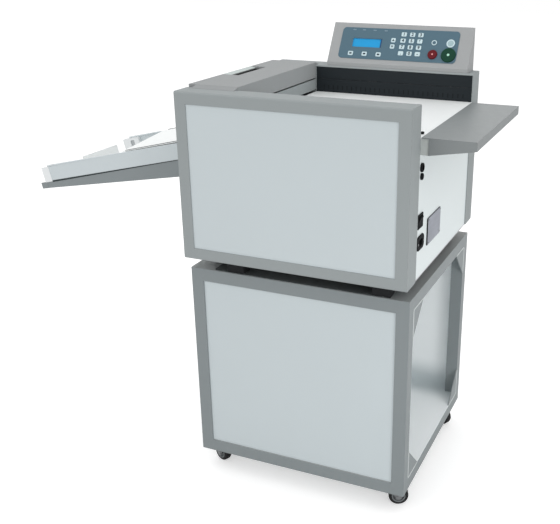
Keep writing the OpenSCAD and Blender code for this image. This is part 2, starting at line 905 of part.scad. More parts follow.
module power_rocker() {
    half = rocker[1] / 2 - 2 * slip;
    back = [-6, 5];
    tip = 5;
    waist = 3.4;
    pivot = rocker[0] / 2 + trunnion_len;
    color(rubber_black) at_origin() translate([panel_x, switch_y, switch_z]) {
        rotate([0, rocker_tilt, 0]) along_y(-rocker[0] / 2, rocker[0] / 2)
            polygon([[back[0], -back[1]], back, [tip, half], [waist, 0], [tip, -half]]);
        rod_y(trunnion_d, 0, 0, -pivot, pivot);
    }
}

module mains_inlet() {
    corner_r = 3;
    half = [12, 8.25];
    cut = 5;
    back = 4;
    shell = [inlet_hole[0] - slip, inlet_hole[1] - slip];
    pin = [1, 2];
    pin_at = [[-7, -2], [0, 2], [7, -2]];
    pin_tip = -5;
    color(fence_black) at_origin() translate([panel_x, inlet_y, inlet_z]) {
        difference() {
            union() {
                along_x(0, flange_t_out) round_rect(inlet_w, inlet_h, corner_r);
                block([-inlet_deep, -shell[0], -shell[1]], [0, shell[0], shell[1]]);
            }
            along_x(back - inlet_deep, flange_t_out + over)
                polygon([[-half[0], half[1]], [-half[0], cut - half[1]], [cut - half[0], -half[1]],
                    [half[0] - cut, -half[1]], [half[0], cut - half[1]], half]);
        }
        for (at = pin_at)
            block([back - slip - inlet_deep, at[0] - pin[0], at[1] - pin[1]],
                [pin_tip, at[0] + pin[0], at[1] + pin[1]]);
    }
}

module sensor_sockets() {
    back = -12;
    well = -6;
    face = 5;
    bevel = 1;
    color(fence_black) at_origin() for (i = [0, 1]) {
        r = socket_d[i] / 2;
        neck = r - socket_rim - slip;
        bore = r - socket_rim - bevel;
        translate([panel_x, socket_y, table_z - socket_drop[i]]) rotate([0, 90, 0]) rotate_extrude()
            polygon([[0, back], [neck, back], [neck, 0], [r, 0], [r, face - bevel], [r - socket_rim, face],
                [bore, face], [bore, well], [0, well]]);
    }
}

// Places the tray's own frame: X up its slope from the body, Z square to its floor
module on_slope() {
    difference() {
        translate([-panel_x, 0, table_z - tray_drop]) rotate([0, -tray_tilt, 0]) children();
        block([-panel_x, -body_y, body_z0], [0, body_y, body_z1]);
    }
}

module delivery_tray() {
    color(sheet_white) at_origin() on_slope() {
        block([-tray_len, -tray_y, 0], [tray_trim, tray_y, tray_sheet]);
        both_sides() block([-tray_len, -tray_y, 0], [tray_trim, -tray_y + tray_sheet, tray_wall]);
    }
}

// A plate above the tray floor, cut off at an angle, on two folds that stand in from its edges
module tray_apron() {
    edge = tray_y - tray_sheet - apron_gap;
    fold = edge - apron_fold_in;
    top = tray_wall + apron_rise;
    color(sheet_white) at_origin() on_slope() {
        translate([0, 0, top - tray_sheet]) linear_extrude(height = tray_sheet)
            polygon([[tray_trim, -edge], [tray_trim, edge], [-apron_len, edge], [-apron_near, -edge]]);
        block([-apron_near, -fold, tray_sheet], [tray_trim, -fold + tray_sheet, top]);
        block([apron_fold_in - apron_len, fold - tray_sheet, tray_sheet], [tray_trim, fold, top]);
    }
}

module tray_brackets() {
    tip = -tray_len - bracket_over;
    color(frame_grey) at_origin() on_slope() both_sides() along_y(-tray_y, -tray_y + bracket_t)
        polygon([[tip, 0], [tray_trim, 0], [tray_trim, -bracket_root], [0, -bracket_root],
            [tip, -bracket_tip]]);
}

module paper_stop() {
    foot = 26;
    end_gap = 8;
    back = -tray_len + foot + end_gap;
    z0 = tray_sheet + glide;
    color(sheet_white) at_origin() on_slope() {
        block([back - foot, -stop_w / 2, z0], [back, stop_w / 2, z0 + tray_sheet]);
        block([back - tray_sheet, -stop_w / 2, z0], [back, stop_w / 2, tray_wall - stop_drop]);
    }
}

module mech_side_plates() {
    foot_out = 10;
    step = table_x0 + foot_out;
    color(steel) at_origin() both_sides() difference() {
        along_y(-plate_out, -plate_in)
            polygon([[plate_x0, base_top], [step, base_top], [step, table_under], [plate_x1, table_under],
                [plate_x1, plate_top], [plate_x0, plate_top]]);
        for (x = roller_x, z = [roller_low_z, roller_top_z])
            rod_y(journal_d + 2 * fit, x, z, -plate_out - over, -plate_in + over);
        rod_y(camshaft_d + 2 * fit, crease_x, cam_z, -plate_out - over, -plate_in + over);
    }
}

// A rubber-covered roller with its two journals
module roller(x, z) {
    rod_y(roller_d, x, z, -roller_half, roller_half);
    rod_y(journal_d, x, z, -plate_out, plate_out);
}

// The flanged belt pulley at the rear end of a driven roller
module belt_pulley(x, z) {
    y1 = belt_y0 + belt_w;
    rod_y(journal_d, x, z, 0, y1 + slip + flange_t);
    rod_y(2 * pulley_r, x, z, belt_y0 - slip - flange_t, y1 + slip + flange_t);
    for (y = [belt_y0 - slip - flange_t, y1 + slip])
        rod_y(2 * (pulley_r + pulley_rim), x, z, y, y + flange_t);
}

module feed_roller_lower() {
    color(rubber_black) at_origin() {
        roller(roller_x[0], roller_low_z);
        belt_pulley(roller_x[0], roller_low_z);
        rod_y(stub_d, roller_x[0], roller_low_z, -plate_out - stub_len, 0);
    }
}

module exit_roller_lower() {
    color(rubber_black) at_origin() {
        roller(roller_x[1], roller_low_z);
        belt_pulley(roller_x[1], roller_low_z);
    }
}

module feed_roller_upper() {
    color(rubber_black) at_origin() roller(roller_x[0], roller_top_z);
}

module exit_roller_upper() {
    color(rubber_black) at_origin() roller(roller_x[1], roller_top_z);
}

module crease_anvil() {
    groove = (blade_t + groove_room) / 2;
    half = anvil_w / 2;
    tenon = tenon_w / 2;
    color(steel) at_origin() difference() {
        union() {
            block([crease_x - half, -anvil_half, anvil_z0], [crease_x + half, anvil_half, anvil_top]);
            block([crease_x - tenon, -plate_in, anvil_z0], [crease_x + tenon, plate_in, tenon_top]);
        }
        block([crease_x - groove, -plate_in, anvil_top - groove_depth],
            [crease_x + groove, plate_in, anvil_top + over]);
    }
}

// The moving portal: a cross beam over the anvil and two bars down to the cam followers
module crease_yoke() {
    slot = tenon_w / 2 + window_room;
    shaft = camshaft_d / 2 + window_room;
    bar_z0 = follower_z - follower_r - bar_foot;
    color(steel) at_origin() difference() {
        union() {
            block([crease_x - beam_w / 2, -bar_out, beam_z0], [crease_x + beam_w / 2, bar_out, beam_z1]);
            both_sides() {
                block([crease_x - bar_w / 2, -bar_out, bar_z0], [crease_x + bar_w / 2, -bar_in, beam_z1]);
                rod_y(2 * follower_r, crease_x, follower_z, -bar_out, follower_over - cam_y0);
            }
        }
        block([crease_x - slot, -plate_in, anvil_z0 - window_room],
            [crease_x + slot, plate_in, tenon_top + stroke + window_room]);
        block([crease_x - shaft, -plate_in, cam_z - shaft],
            [crease_x + shaft, plate_in, cam_z + shaft + stroke]);
        block([crease_x - blade_t / 2 - fit, -bar_in, beam_z0 - over],
            [crease_x + blade_t / 2 + fit, bar_in, beam_z0 + blade_seat]);
    }
}

module crease_blade() {
    half = blade_t / 2;
    color(steel) at_origin() along_y(-roller_half, roller_half) {
        polygon([[crease_x - half, blade_low + half], [crease_x + half, blade_low + half],
            [crease_x + half, beam_z0 + blade_seat], [crease_x - half, beam_z0 + blade_seat]]);
        translate([crease_x, blade_low + half]) circle(half);
    }
}

// Cam radius at an angle from straight down: a steady rise over the working turn, a dwell, and a return
function cam_radius(a) =
    a <= cam_turn ? cam_r + stroke * a / cam_turn
    : a <= cam_turn + cam_dwell ? cam_r + stroke
    : a <= cam_home ? cam_r + stroke * (cam_home - a) / (cam_home - cam_turn - cam_dwell)
    : cam_r;

module camshaft() {
    color(steel) at_origin() {
        rod_y(camshaft_d, crease_x, cam_z, -plate_out, plate_out);
        rod_y(stub_d, crease_x, cam_z, -plate_out - stub_len, 0);
        both_sides() along_y(-cam_y0 - cam_t, -cam_y0)
            translate([crease_x, cam_z])
                polygon([for (a = [0:cam_step:360 - cam_step]) cam_radius(a) * [sin(a), -cos(a)]]);
    }
}

// A square stepping motor with a hollow shaft, bolted to the front mechanism plate
module hollow_motor(x, z) {
    y0 = -plate_out;
    y1 = y0 - motor_len;
    sides = 8;
    turn = 180 / sides;
    waist = motor_side - 2 * motor_waist;
    difference() {
        union() {
            for (y = [y0 - motor_cap, y1])
                along_y(y, y + motor_cap) translate([x, z]) round_rect(motor_side, motor_side, motor_cap_r);
            along_y(y1 + motor_cap, y0 - motor_cap) translate([x, z]) rotate(turn)
                circle(d = waist / cos(turn), $fn = sides);
        }
        rod_y(stub_d + 2 * fit, x, z, y0 - stub_len - stub_room, y0 + over);
    }
}

module feed_motor() {
    color(motor_black) at_origin() hollow_motor(roller_x[0], roller_low_z);
}

module crease_motor() {
    color(motor_black) at_origin() hollow_motor(crease_x, cam_z);
}

// The belt that joins the two lower rollers
module belt_loop(r) {
    for (x = roller_x) translate([x, roller_low_z]) circle(r);
    translate([crease_x, roller_low_z]) square([2 * roller_pitch, 2 * r], center = true);
}

module feed_belt() {
    inner = pulley_r + slip;
    color(rubber_black) at_origin() along_y(belt_y0, belt_y0 + belt_w) difference() {
        belt_loop(inner + belt_t);
        belt_loop(inner);
    }
}

stand_posts();
stand_top_rails();
stand_bottom_rails();
stand_gussets();
stand_front_panel();
stand_rear_panel();
stand_decks();
caster_plates();
caster_fork_fl();
caster_fork_fr();
caster_fork_rl();
caster_fork_rr();
caster_hub_fl();
caster_hub_fr();
caster_hub_rl();
caster_hub_rr();
caster_tyre_fl();
caster_tyre_fr();
caster_tyre_rl();
caster_tyre_rr();
base_plate();
machine_feet();
front_cover();
front_panel();
rear_cover();
rear_panel();
infeed_end_panel();
delivery_end_panel();
feed_table();
side_fence();
infeed_shelf();
shelf_bracket();
hood();
hood_hinge_pins();
entry_bar();
console_housing();
keypad();
display_window();
start_button();
stop_button();
switch_frame();
power_rocker();
mains_inlet();
sensor_sockets();
delivery_tray();
tray_apron();
tray_brackets();
paper_stop();
mech_side_plates();
feed_roller_lower();
feed_roller_upper();
exit_roller_lower();
exit_roller_upper();
crease_anvil();
crease_yoke();
crease_blade();
camshaft();
feed_motor();
crease_motor();
feed_belt();
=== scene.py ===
"""Looks of a floor-standing paper creasing machine, built on its packed construction model."""
import math

import bpy
import numpy as np
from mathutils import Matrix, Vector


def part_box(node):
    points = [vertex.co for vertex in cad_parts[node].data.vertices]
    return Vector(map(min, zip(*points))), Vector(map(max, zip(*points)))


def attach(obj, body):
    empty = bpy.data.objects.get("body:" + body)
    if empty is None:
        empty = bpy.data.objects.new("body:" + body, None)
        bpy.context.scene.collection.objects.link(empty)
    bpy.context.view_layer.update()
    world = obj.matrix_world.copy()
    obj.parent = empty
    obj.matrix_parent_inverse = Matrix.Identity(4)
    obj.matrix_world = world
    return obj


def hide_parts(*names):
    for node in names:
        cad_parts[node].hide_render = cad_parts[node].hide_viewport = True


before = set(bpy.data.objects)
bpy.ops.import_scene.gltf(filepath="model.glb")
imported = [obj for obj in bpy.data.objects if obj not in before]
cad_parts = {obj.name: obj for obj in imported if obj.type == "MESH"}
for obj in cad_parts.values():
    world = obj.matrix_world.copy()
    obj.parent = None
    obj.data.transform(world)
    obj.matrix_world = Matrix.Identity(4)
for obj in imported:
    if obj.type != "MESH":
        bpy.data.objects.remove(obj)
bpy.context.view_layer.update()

MM = 0.001
FRAME_BODY = "machine_frame"

# Photograph and camera: the eye is worked out from the straight edges of the machine
PHOTO_WIDTH = 560
FOCAL_PIXELS = 844.4
OPTICAL_CENTRE = (336.0, 260.8)
PHOTO_CENTRE = (280.0, 262.0)
EYE_FROM_STAND = (784.5 * MM, -1893.3 * MM, 1335.6 * MM)
EYE_TURN = math.radians(22.58)
EYE_DROP = math.radians(21.14)
SENSOR = 36.0
CLIP_END = 100

# Floor, surround and lamps: each lamp's place, target, size, watts and spread in degrees
WHITE = (1, 1, 1, 1)
FLOOR_SIZE = 14.0
FLOOR_TONE = (0.80, 0.80, 0.80, 1)
FLOOR_LIFT = 0.42
SURROUND_LIGHT = 0.87
LAMPS = (
    ("key_lamp", (-1.6, -2.6, 2.6), (0, 0, 0.7), 2.4, 15, 180),
    ("top_lamp", (0.5, -0.3, 3.4), (0.2, 0, 0.9), 2.0, 13, 180),
    ("rear_lamp", (-0.9, 2.6, 2.9), (0, 0, 0.7), 2.4, 10, 180),
    ("right_bay_lamp", (2.4, -1.3, 0.9), (0.2, 0.1, 0.38), 0.8, 1.35, 50),
    ("left_bay_lamp", (-2.6, 0.0, 0.05), (0.2, 0.1, 0.34), 0.8, 1.5, 34),
)

# Radii of the upper edges of small plates, the least share of a corner's radius that an inset keeps, and mesh steps
FINE_EDGE = 0.1 * MM
SMALL_EDGE = 0.2 * MM
SOFT_EDGE = 0.3 * MM
LEAST_ROUND = 0.2
EDGE_STEPS = 4
ROD_STEPS = 8
ROD_SIDES = 10

# Console face: its lip, and the keys and marks on it, in millimetres from its left edge and up its slope.
# A size in brackets is a width and a height, with the radius of the corners where there is a third figure.
CONSOLE_LIP = 9 * MM
KEYPAD_TOP = 1.2 * MM
KEY_TOP = 1.8 * MM
KEY_DOME = 0.5 * MM
KEY_ROUND = 2.5 * MM
NUMBER_KEY = (14 * MM, 11.5 * MM)
NUMBER_COLUMNS = (200.5, 223.5, 246.0)
NUMBER_ROWS = (86.0, 68.5, 51.0, 33.5)
KEY_FIGURES = "123456789.0-"
FIGURE_SIZE = 11.5 * MM
FIGURE_WEIGHT = 0.035
FIGURE_HALF = 0.05 * MM
FIGURE_LIFT = 0.01 * MM
MARK_RISE = 0.06 * MM
MARK_EDGE = 0.02 * MM
MENU_KEYS = ((62, 27), (101, 27), (140, 27))
MENU_MARK = (7 * MM, 4.5 * MM, 1 * MM)
ARROW_KEYS = ((174, 51, -1), (174, 68.5, 1))
ARROW_KEY = (12 * MM, 12 * MM)
ARROW = np.array([[-3.4, -2.4], [3.4, -2.4], [0, 3.4]]) * MM
RING_KEYS = ((285, 67, 14), (328.5, 67, 22))
RING_BORE = 0.34
RING_RISE = 0.4 * MM
DISC_FOOT = 0.33
DISC_TOP = 0.3
DISC_RISE = 0.1 * MM
INDICATORS = ((61, 94), (88, 94), (118, 94), (149, 94))
INDICATOR_SIZE = (9 * MM, 3 * MM, 1.4 * MM)
INDICATOR_RISE = 0.4 * MM
START_AT = (328, 35, 38)
STOP_AT = (286, 34.5, 25)
BUTTON_RISE = 3 * MM
CENTRE_SHARE = 0.09
CENTRE_SUNK = 0.5 * MM
CENTRE_DOME = 0.8 * MM
CENTRE_RINGS = np.linspace(1, 0.05, 7)
DISPLAY_RIGHT = 143 * MM
DISPLAY_MIDDLE = 58.5 * MM
DISPLAY_TALL = 25 * MM
BORDER_WIDE = 4 * MM
BORDER_ROUND = 0.5 * MM
BORDER_DEPTHS = (-1.5 * MM, -0.6 * MM)

# Delivery tray: up its slope from the low end, up its wall and outwards from the wall.
# Each shell of an end cap: middle up the slope, width, height beyond the wall's, inner and outer depth, edge radius.
TRAY_SLOPE = math.radians(13.7)
TRAY_WALL = 39 * MM
TRAY_LENGTH = 480 * MM
TRAY_SHEET = 1.5 * MM
TRAY_HALF = 184 * MM
CAP_SHELLS = np.array([[-7, 24, 1, 0, 1, 0.4], [-9.5, 18, -0.6, -9.6, 0.5, 0.3]]) * MM
CAP_ROUND = 1.5 * MM
CAP_MIDDLE = TRAY_WALL / 2 + 1.5 * MM
CAP_BLOCK = (44 * MM, TRAY_WALL - 3 * MM)
CAP_BLOCK_AT = 17 * MM
CAP_FIELD = (14 * MM, 22 * MM, 1 * MM)
CAP_FIELD_AT = 15 * MM
CAP_DEPTH = 9 * MM
CAP_SUNK = 6 * MM
CAP_FIELD_DEPTHS = (5.5 * MM, 6.1 * MM)
SHADE_STRIP_START = 6 * MM
SHADE_STRIP_STEPS = 24
SHADE_STRIP_TALL = (2.2 * MM, 0.5 * MM)
SHADE_STRIP_DEPTHS = (-0.5 * MM, 0.6 * MM)
HEM_ENDS = ((2, 41.4, -1.75), (488, 37.4, -1.75))
HEM_TALL = 2.6 * MM
HEM_WIDE = 1.7 * MM
SHADE_ROD_STARTS = ((-1, 258), (1, 152))
SHADE_ROD_END = 488
SHADE_ROD_AT = (44.4, -10)
SHADE_ROD_RADIUS = 0.9 * MM
TIP_OUTLINE = np.array([[-35, -15.5], [-14, -16.8], [-14, 0.3], [-35, 0.3]]) * MM
TIP_DEPTHS = (-3.5 * MM, 0.5 * MM)

# Hood: its finger ramp with a plate, and the wedges beside it
RAMP_RUN = 15 * MM
RAMP_DROP = 3.5 * MM
RAMP_LENGTH = 146 * MM
RAMP_MIDDLE = 14 * MM
FINGER_GAP = 0.6 * MM
FINGER_END_GAP = 1 * MM
FINGER_ROUND = 0.6 * MM
FINGER_DEPTHS = (-0.2 * MM, 0.4 * MM)
WEDGE_GAP = 0.4 * MM
WEDGE_REACH = 18 * MM
WEDGE_LIP = 0.3 * MM
WEDGE_START = 0.8 * MM
WEDGE_UNDER = 0.2 * MM
WEDGE_FIRST = 12 * MM
WEDGE_FULL = 20 * MM

# Feed table: the paper sensor's knob, and the slots of the fence
KNOB_AT = np.array([272, -180]) * MM
KNOB_STEM = 3.2 * MM
KNOB_NECK = 1.5 * MM
KNOB_HEAD = 4 * MM
KNOB_SHOULDER = 2 * MM
KNOB_RIM = 4 * MM
KNOB_DOME = 1.6 * MM
KNOB_TURN = np.linspace(0, 0.9 * math.pi / 2, 5)
SLOT_COUNT = 30
SLOT_FIRST = 22 * MM
SLOT_LAST = 406 * MM
SLOT_MIDDLE = 13 * MM
SLOT_SIZE = (2.4 * MM, 12 * MM, 1.1 * MM)
SLOT_DEPTHS = (-0.3 * MM, 0.15 * MM)

# Stand: a dark mat that is painted shade, pads and painted sheet on its top, coves, pale rods as painted highlights at
# the gussets, and painted shade in its bay's lower corners
SHADE_MAT_INSET = np.array([62, 4]) * MM
SHADE_MAT_ROUND = 8 * MM
SHADE_MAT_TALL = 1.5 * MM
SHADE_MAT_EDGE = 0.6 * MM
PAD_SIZE = (46 * MM, 34 * MM, 4 * MM)
PAD_AT = ((-160, -234), (210, -234))
PAD_FOOT = 1 * MM
PAD_GAP = 0.1 * MM
PAD_EDGE = 1 * MM
SHEET_ROUND = 1 * MM
SHEET_TALL = 0.5 * MM
COVE_STEPS = 28
GUSSET_LEG = 76 * MM
HIGHLIGHT_RADIUS = 1.3 * MM
HIGHLIGHT_CORNER = 6 * MM
HIGHLIGHT_BEND = 5 * MM
HIGHLIGHT_STEPS = 6
CORNER_SHADE_REACH = 88 * MM

# Infeed end: the bare plate, screw heads and the mains inlet
PLATE_SIZE = np.array([101, 65]) * MM
PLATE_AT = np.array([-84.5, 703.5]) * MM
PLATE_RISE = 2.2 * MM
PLATE_ROUND = 3 * MM
PLATE_LAP = 1.6 * MM
SHADE_BACKING_OVER = 3 * MM
SHADE_BACKING_SUNK = 0.5 * MM
RIVET_INSET = 5 * MM
RIVET_RADIUS = 2 * MM
SCREW_RIM = 0.2
SCREW_DOME = 0.35
SCREW_TURN = np.linspace(0, 0.97 * math.pi / 2, 6)
INLET_LAP = np.array([9, 5]) * MM
INLET_PLAY = 0.3 * MM
INLET_ROUND = 1 * MM
INLET_CORNER = 12 * MM
INLET_EDGE = 0.8 * MM
INLET_WELL = (24 * MM, 16.5 * MM, 4 * MM)
INLET_FLOOR = 4 * MM
INLET_PINS = ((-7, -2), (0, 2), (7, -2))
INLET_PIN = (2 * MM, 4 * MM, 0.4 * MM)
PIN_FOOT = 3.5 * MM
PIN_TIP = -5 * MM
INLET_SCREW_OFF = 20 * MM
INLET_SCREW = 2.4 * MM


def srgb(red, green, blue):
    """A colour as the eye reads it, 0 to 255, as linear light."""
    seen = np.array([red, green, blue]) / 255
    linear = np.where(seen <= 0.04045, seen / 12.92, ((seen + 0.055) / 1.055) ** 2.4)
    return (*linear.tolist(), 1.0)


# Meshes

def grid_faces(rows, columns):
    """Corner numbers of the quads between neighbouring rows and columns of a grid whose rows are closed rings."""
    row, column = np.meshgrid(np.arange(rows - 1), np.arange(columns), indexing="ij")
    here = row * columns + column
    beside = row * columns + (column + 1) % columns
    return np.stack([here, beside, beside + columns, here + columns], -1).reshape(-1, 4)


def shown(name, data):
    """A new object in the scene that shows the given data."""
    made = bpy.data.objects.new(name, data)
    bpy.context.collection.objects.link(made)
    return made


def add_piece(name, points, faces, finish, slot, body=FRAME_BODY, smooth=False, node=None):
    """An object at the origin, its place in its mesh, riding on a body and, where one is named, standing for a node."""
    mesh = bpy.data.meshes.new(name)
    mesh.from_pydata(np.asarray(points).reshape(-1, 3).tolist(), [], [list(face) for face in faces])
    mesh.polygons.foreach_set("use_smooth", np.full(len(mesh.polygons), smooth))
    mesh.update()
    piece = shown(name, mesh)
    piece.data.materials.append(finish)
    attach(piece, body)
    if node:
        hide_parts(node)


def round_outline(width, height, radius, steps=6):
    """A rectangle with quarter-circle corners, anticlockwise: each corner's arc about its own centre."""
    turn = np.linspace(0, math.pi / 2, steps + 1)
    quarter = np.arange(4)[:, None] * math.pi / 2 + turn[None, :]
    centre = np.array([[1, 1], [-1, 1], [-1, -1], [1, -1]]) * [width / 2 - radius, height / 2 - radius]
    arc = radius * np.stack([np.cos(quarter), np.sin(quarter)], -1)
    return (centre[:, None, :] + arc).reshape(-1, 2)


def tube_faces(rows, columns):
    """The quads of a grid whose rows are closed rings, with a flat cap on its first and on its last ring."""
    last = (rows - 1) * columns
    caps = [list(range(columns))[::-1], list(range(last, last + columns))]
    return grid_faces(rows, columns).tolist() + caps


def stacked(place, rings, heights):
    """Closed outlines stacked at their heights, with a flat cap under the first and over the last."""
    columns = len(rings[0])
    local = np.stack([np.column_stack([ring, np.full(columns, height)]) for ring, height in zip(rings, heights)])
    return place(local.reshape(-1, 3)), tube_faces(len(rings), columns)


def slab(place, centre, width, height, radius, low, high, edge):
    """A rounded rectangle from low to high, whose upper edge follows a quarter circle of radius edge."""
    turn = np.linspace(0, math.pi / 2, EDGE_STEPS)
    inset = np.concatenate([[0], edge * (1 - np.cos(turn))])
    lift = np.concatenate([[low], high - edge + edge * np.sin(turn)])
    least = radius * LEAST_ROUND
    rings = [round_outline(width - 2 * i, height - 2 * i, max(radius - i, least)) + centre for i in inset]
    return stacked(place, rings, lift)


def unit_circle(steps):
    """Points evenly round a circle of radius one."""
    angle = np.linspace(0, 2 * math.pi, steps, endpoint=False)
    return np.stack([np.cos(angle), np.sin(angle)], -1)


def turned(place, centre, profile, steps=40):
    """A profile of radius and height turned about an axis, with flat caps over its first and last ring."""
    circle = unit_circle(steps)
    return stacked(place, [radius * circle + centre for radius, _ in profile], [height for _, height in profile])


def hoop(place, centre, outer, inner, low, high, edge, steps=48):
    """A flat ring: a closed profile of four bevelled corners turned about an axis, its last row joined to its first."""
    radius = np.array([outer, outer, outer - edge, inner + edge, inner, inner])
    height = np.array([low, high - edge, high, high, high - edge, low])
    flat = radius[:, None, None] * unit_circle(steps)[None] + centre
    local = np.concatenate([flat, np.broadcast_to(height[:, None, None], (*flat.shape[:2], 1))], -1)
    faces = grid_faces(len(radius) + 1, steps) % (len(radius) * steps)
    return place(local.reshape(-1, 3)), faces.tolist()


def rod(path, across, tall, wide):
    """An ellipse carried along a path in a plane: it stands square to the path, and flat caps close its ends."""
    along = np.gradient(path, axis=0)
    along = along / np.linalg.norm(along, axis=1, keepdims=True)
    lift = np.cross(across, along)
    turn = np.linspace(0, 2 * math.pi, ROD_SIDES, endpoint=False)[None, :, None]
    points = path[:, None] + tall * np.cos(turn) * lift[:, None] + wide * np.sin(turn) * np.asarray(across)
    return points.reshape(-1, 3), tube_faces(len(path), turn.size)


def flipped(part):
    """The same surface with its faces turned round, for a place that mirrors it."""
    points, faces = part
    return points, [list(face)[::-1] for face in faces]


def facing(side, part):
    """A surface as it is for the near side, -1, and turned round for the far side, whose place mirrors it."""
    return part if side < 0 else flipped(part)


def joined(parts):
    """Several points and faces as one."""
    points, faces, start = [], [], 0
    for part_points, part_faces in parts:
        points.append(part_points)
        faces += [[corner + start for corner in face] for face in part_faces]
        start += len(part_points)
    return np.concatenate(points), faces


def figure(text, size, place, centre, height):
    """A thin raised figure in the plain built-in lettering, its middle at a height on a face."""
    curve = bpy.data.curves.new("figure", "FONT")
    curve.body = text
    curve.size = size
    curve.align_x = "CENTER"
    curve.align_y = "CENTER"
    curve.offset = size * FIGURE_WEIGHT
    curve.extrude = FIGURE_HALF
    shape = shown("figure", curve)
    flat = bpy.data.meshes.new_from_object(shape.evaluated_get(bpy.context.evaluated_depsgraph_get()))
    corners = np.zeros(len(flat.vertices) * 3)
    flat.vertices.foreach_get("co", corners)
    faces = [list(face.vertices) for face in flat.polygons]
    points = corners.reshape(-1, 3) + [centre[0], centre[1], height]
    bpy.data.objects.remove(shape)
    bpy.data.curves.remove(curve)
    bpy.data.meshes.remove(flat)
    return place(points), faces


# Places

def spot_at(along, across):
    """A spot on a face, from millimetres."""
    return np.array([along, across]) * MM


def lifted(place, height):
    """A place moved out of its face by a height."""
    return lambda points: place(np.asarray(points) + [0, 0, height])


def along_x(points):
    """Maps outlines in Y and Z that are stacked along X to the row frame."""
    return np.asarray(points)[:, [2, 0, 1]]


def console_face():
    """Maps points along, up and out of the console's slope to the row frame."""
    low, high = np.array(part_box("console_housing"))
    start = np.array([low[0], low[1], low[2] + CONSOLE_LIP])
    slope = np.array([0, high[1] - low[1], high[2] - low[2] - CONSOLE_LIP])
    up = slope / np.linalg.norm(slope)
    along = np.array([1.0, 0, 0])
    return lambda points: start + np.asarray(points) @ np.stack([along, up, np.cross(along, up)])


def end_face():
    """Maps points along Y, along Z and outwards to the outer face of the infeed end panel."""
    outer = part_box("infeed_end_panel")[1][0]
    axes = np.array([[0.0, 1, 0], [0, 0, 1], [1, 0, 0]])
    return lambda points: np.array([outer, 0, 0]) + np.asarray(points) @ axes


def tray_side(side):
    """Maps points up the tray's slope, up its wall and outwards to the outer face of a side wall: -1 near, 1 far."""
    low, high = np.array(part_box("delivery_tray"))
    slope = np.array([math.cos(TRAY_SLOPE), 0, math.sin(TRAY_SLOPE)])
    lift = np.array([-math.sin(TRAY_SLOPE), 0, math.cos(TRAY_SLOPE)])
    corner = np.array([low[0] + TRAY_WALL * math.sin(TRAY_SLOPE), high[1] if side > 0 else low[1], low[2]])
    return lambda points: corner + np.asarray(points) @ np.stack([slope, lift, np.array([0.0, side, 0])])


def hood_ramp():
    """Maps points down the hood's finger ramp, along it and out of it to the row frame."""
    low, high = np.array(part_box("hood"))
    down = np.array([RAMP_RUN, 0, -RAMP_DROP])
    down = down / np.linalg.norm(down)
    along = np.array([0.0, 1, 0])
    start = np.array([low[0], RAMP_MIDDLE, high[2]])
    return lambda points: start + np.asarray(points) @ np.stack([down, along, np.cross(down, along)])


def table_top():
    """Maps points along X, along Y and upwards to the top of the feed table, from the middle of the stand."""
    low, high = np.array(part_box("stand_posts"))
    middle = np.array([(low[0] + high[0]) / 2, 0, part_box("feed_table")[1][2]])
    return lambda points: middle + np.asarray(points)


def stand_top():
    """Maps points along X, along Y and upwards to the top of the stand, from its middle."""
    low, high = np.array(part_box("stand_posts"))
    middle = np.array([(low[0] + high[0]) / 2, (low[1] + high[1]) / 2, high[2]])
    return lambda points: middle + np.asarray(points)


def fence_face():
    """Maps points along X, up and out of the front face of the black fence, from its lower left corner."""
    low = np.array(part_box("side_fence")[0])
    axes = np.array([[1.0, 0, 0], [0, 0, 1], [0, -1, 0]])
    return lambda points: low + np.asarray(points) @ axes


# Shared surface effects

def add_node(tree, kind, settings=(), **inputs):
    """A shader node with its settings, and its inputs, by name or as i and a number, given as values or sockets."""
    made = tree.nodes.new(kind)
    for key, value in dict(settings).items():
        setattr(made, key, value)
    for key, value in inputs.items():
        numbered = key[0] == "i" and key[1:].isdigit()
        socket = made.inputs[int(key[1:]) if numbered else key.replace("_", " ")]
        if isinstance(value, bpy.types.NodeSocket):
            tree.links.new(value, socket)
        else:
            socket.default_value = value
    return made


def maths(tree, operation, *values, clamp=False):
    """The result of a maths node on values or sockets."""
    inputs = {f"i{place}": value for place, value in enumerate(values)}
    return add_node(tree, "ShaderNodeMath", {"operation": operation, "use_clamp": clamp}, **inputs).outputs[0]


def blend(tree, share, first, second):
    """The colour that lies a share of the way from the first to the second."""
    return add_node(tree, "ShaderNodeMix", {"data_type": "RGBA"}, i0=share, i6=first, i7=second).outputs[2]


def effect_group(name, inputs, outputs):
    """An empty shader node group with named sockets: its tree, its input sockets and its output node."""
    tree = bpy.data.node_groups.new(name, "ShaderNodeTree")
    for socket, kind in inputs.items():
        tree.interface.new_socket(socket, in_out="INPUT", socket_type=kind)
    for socket, kind in outputs.items():
        tree.interface.new_socket(socket, in_out="OUTPUT", socket_type=kind)
    entry = tree.nodes.new("NodeGroupInput")
    return tree, entry.outputs, tree.nodes.new("NodeGroupOutput")


FLOAT, COLOUR, VECTOR = "NodeSocketFloat", "NodeSocketColor", "NodeSocketVector"


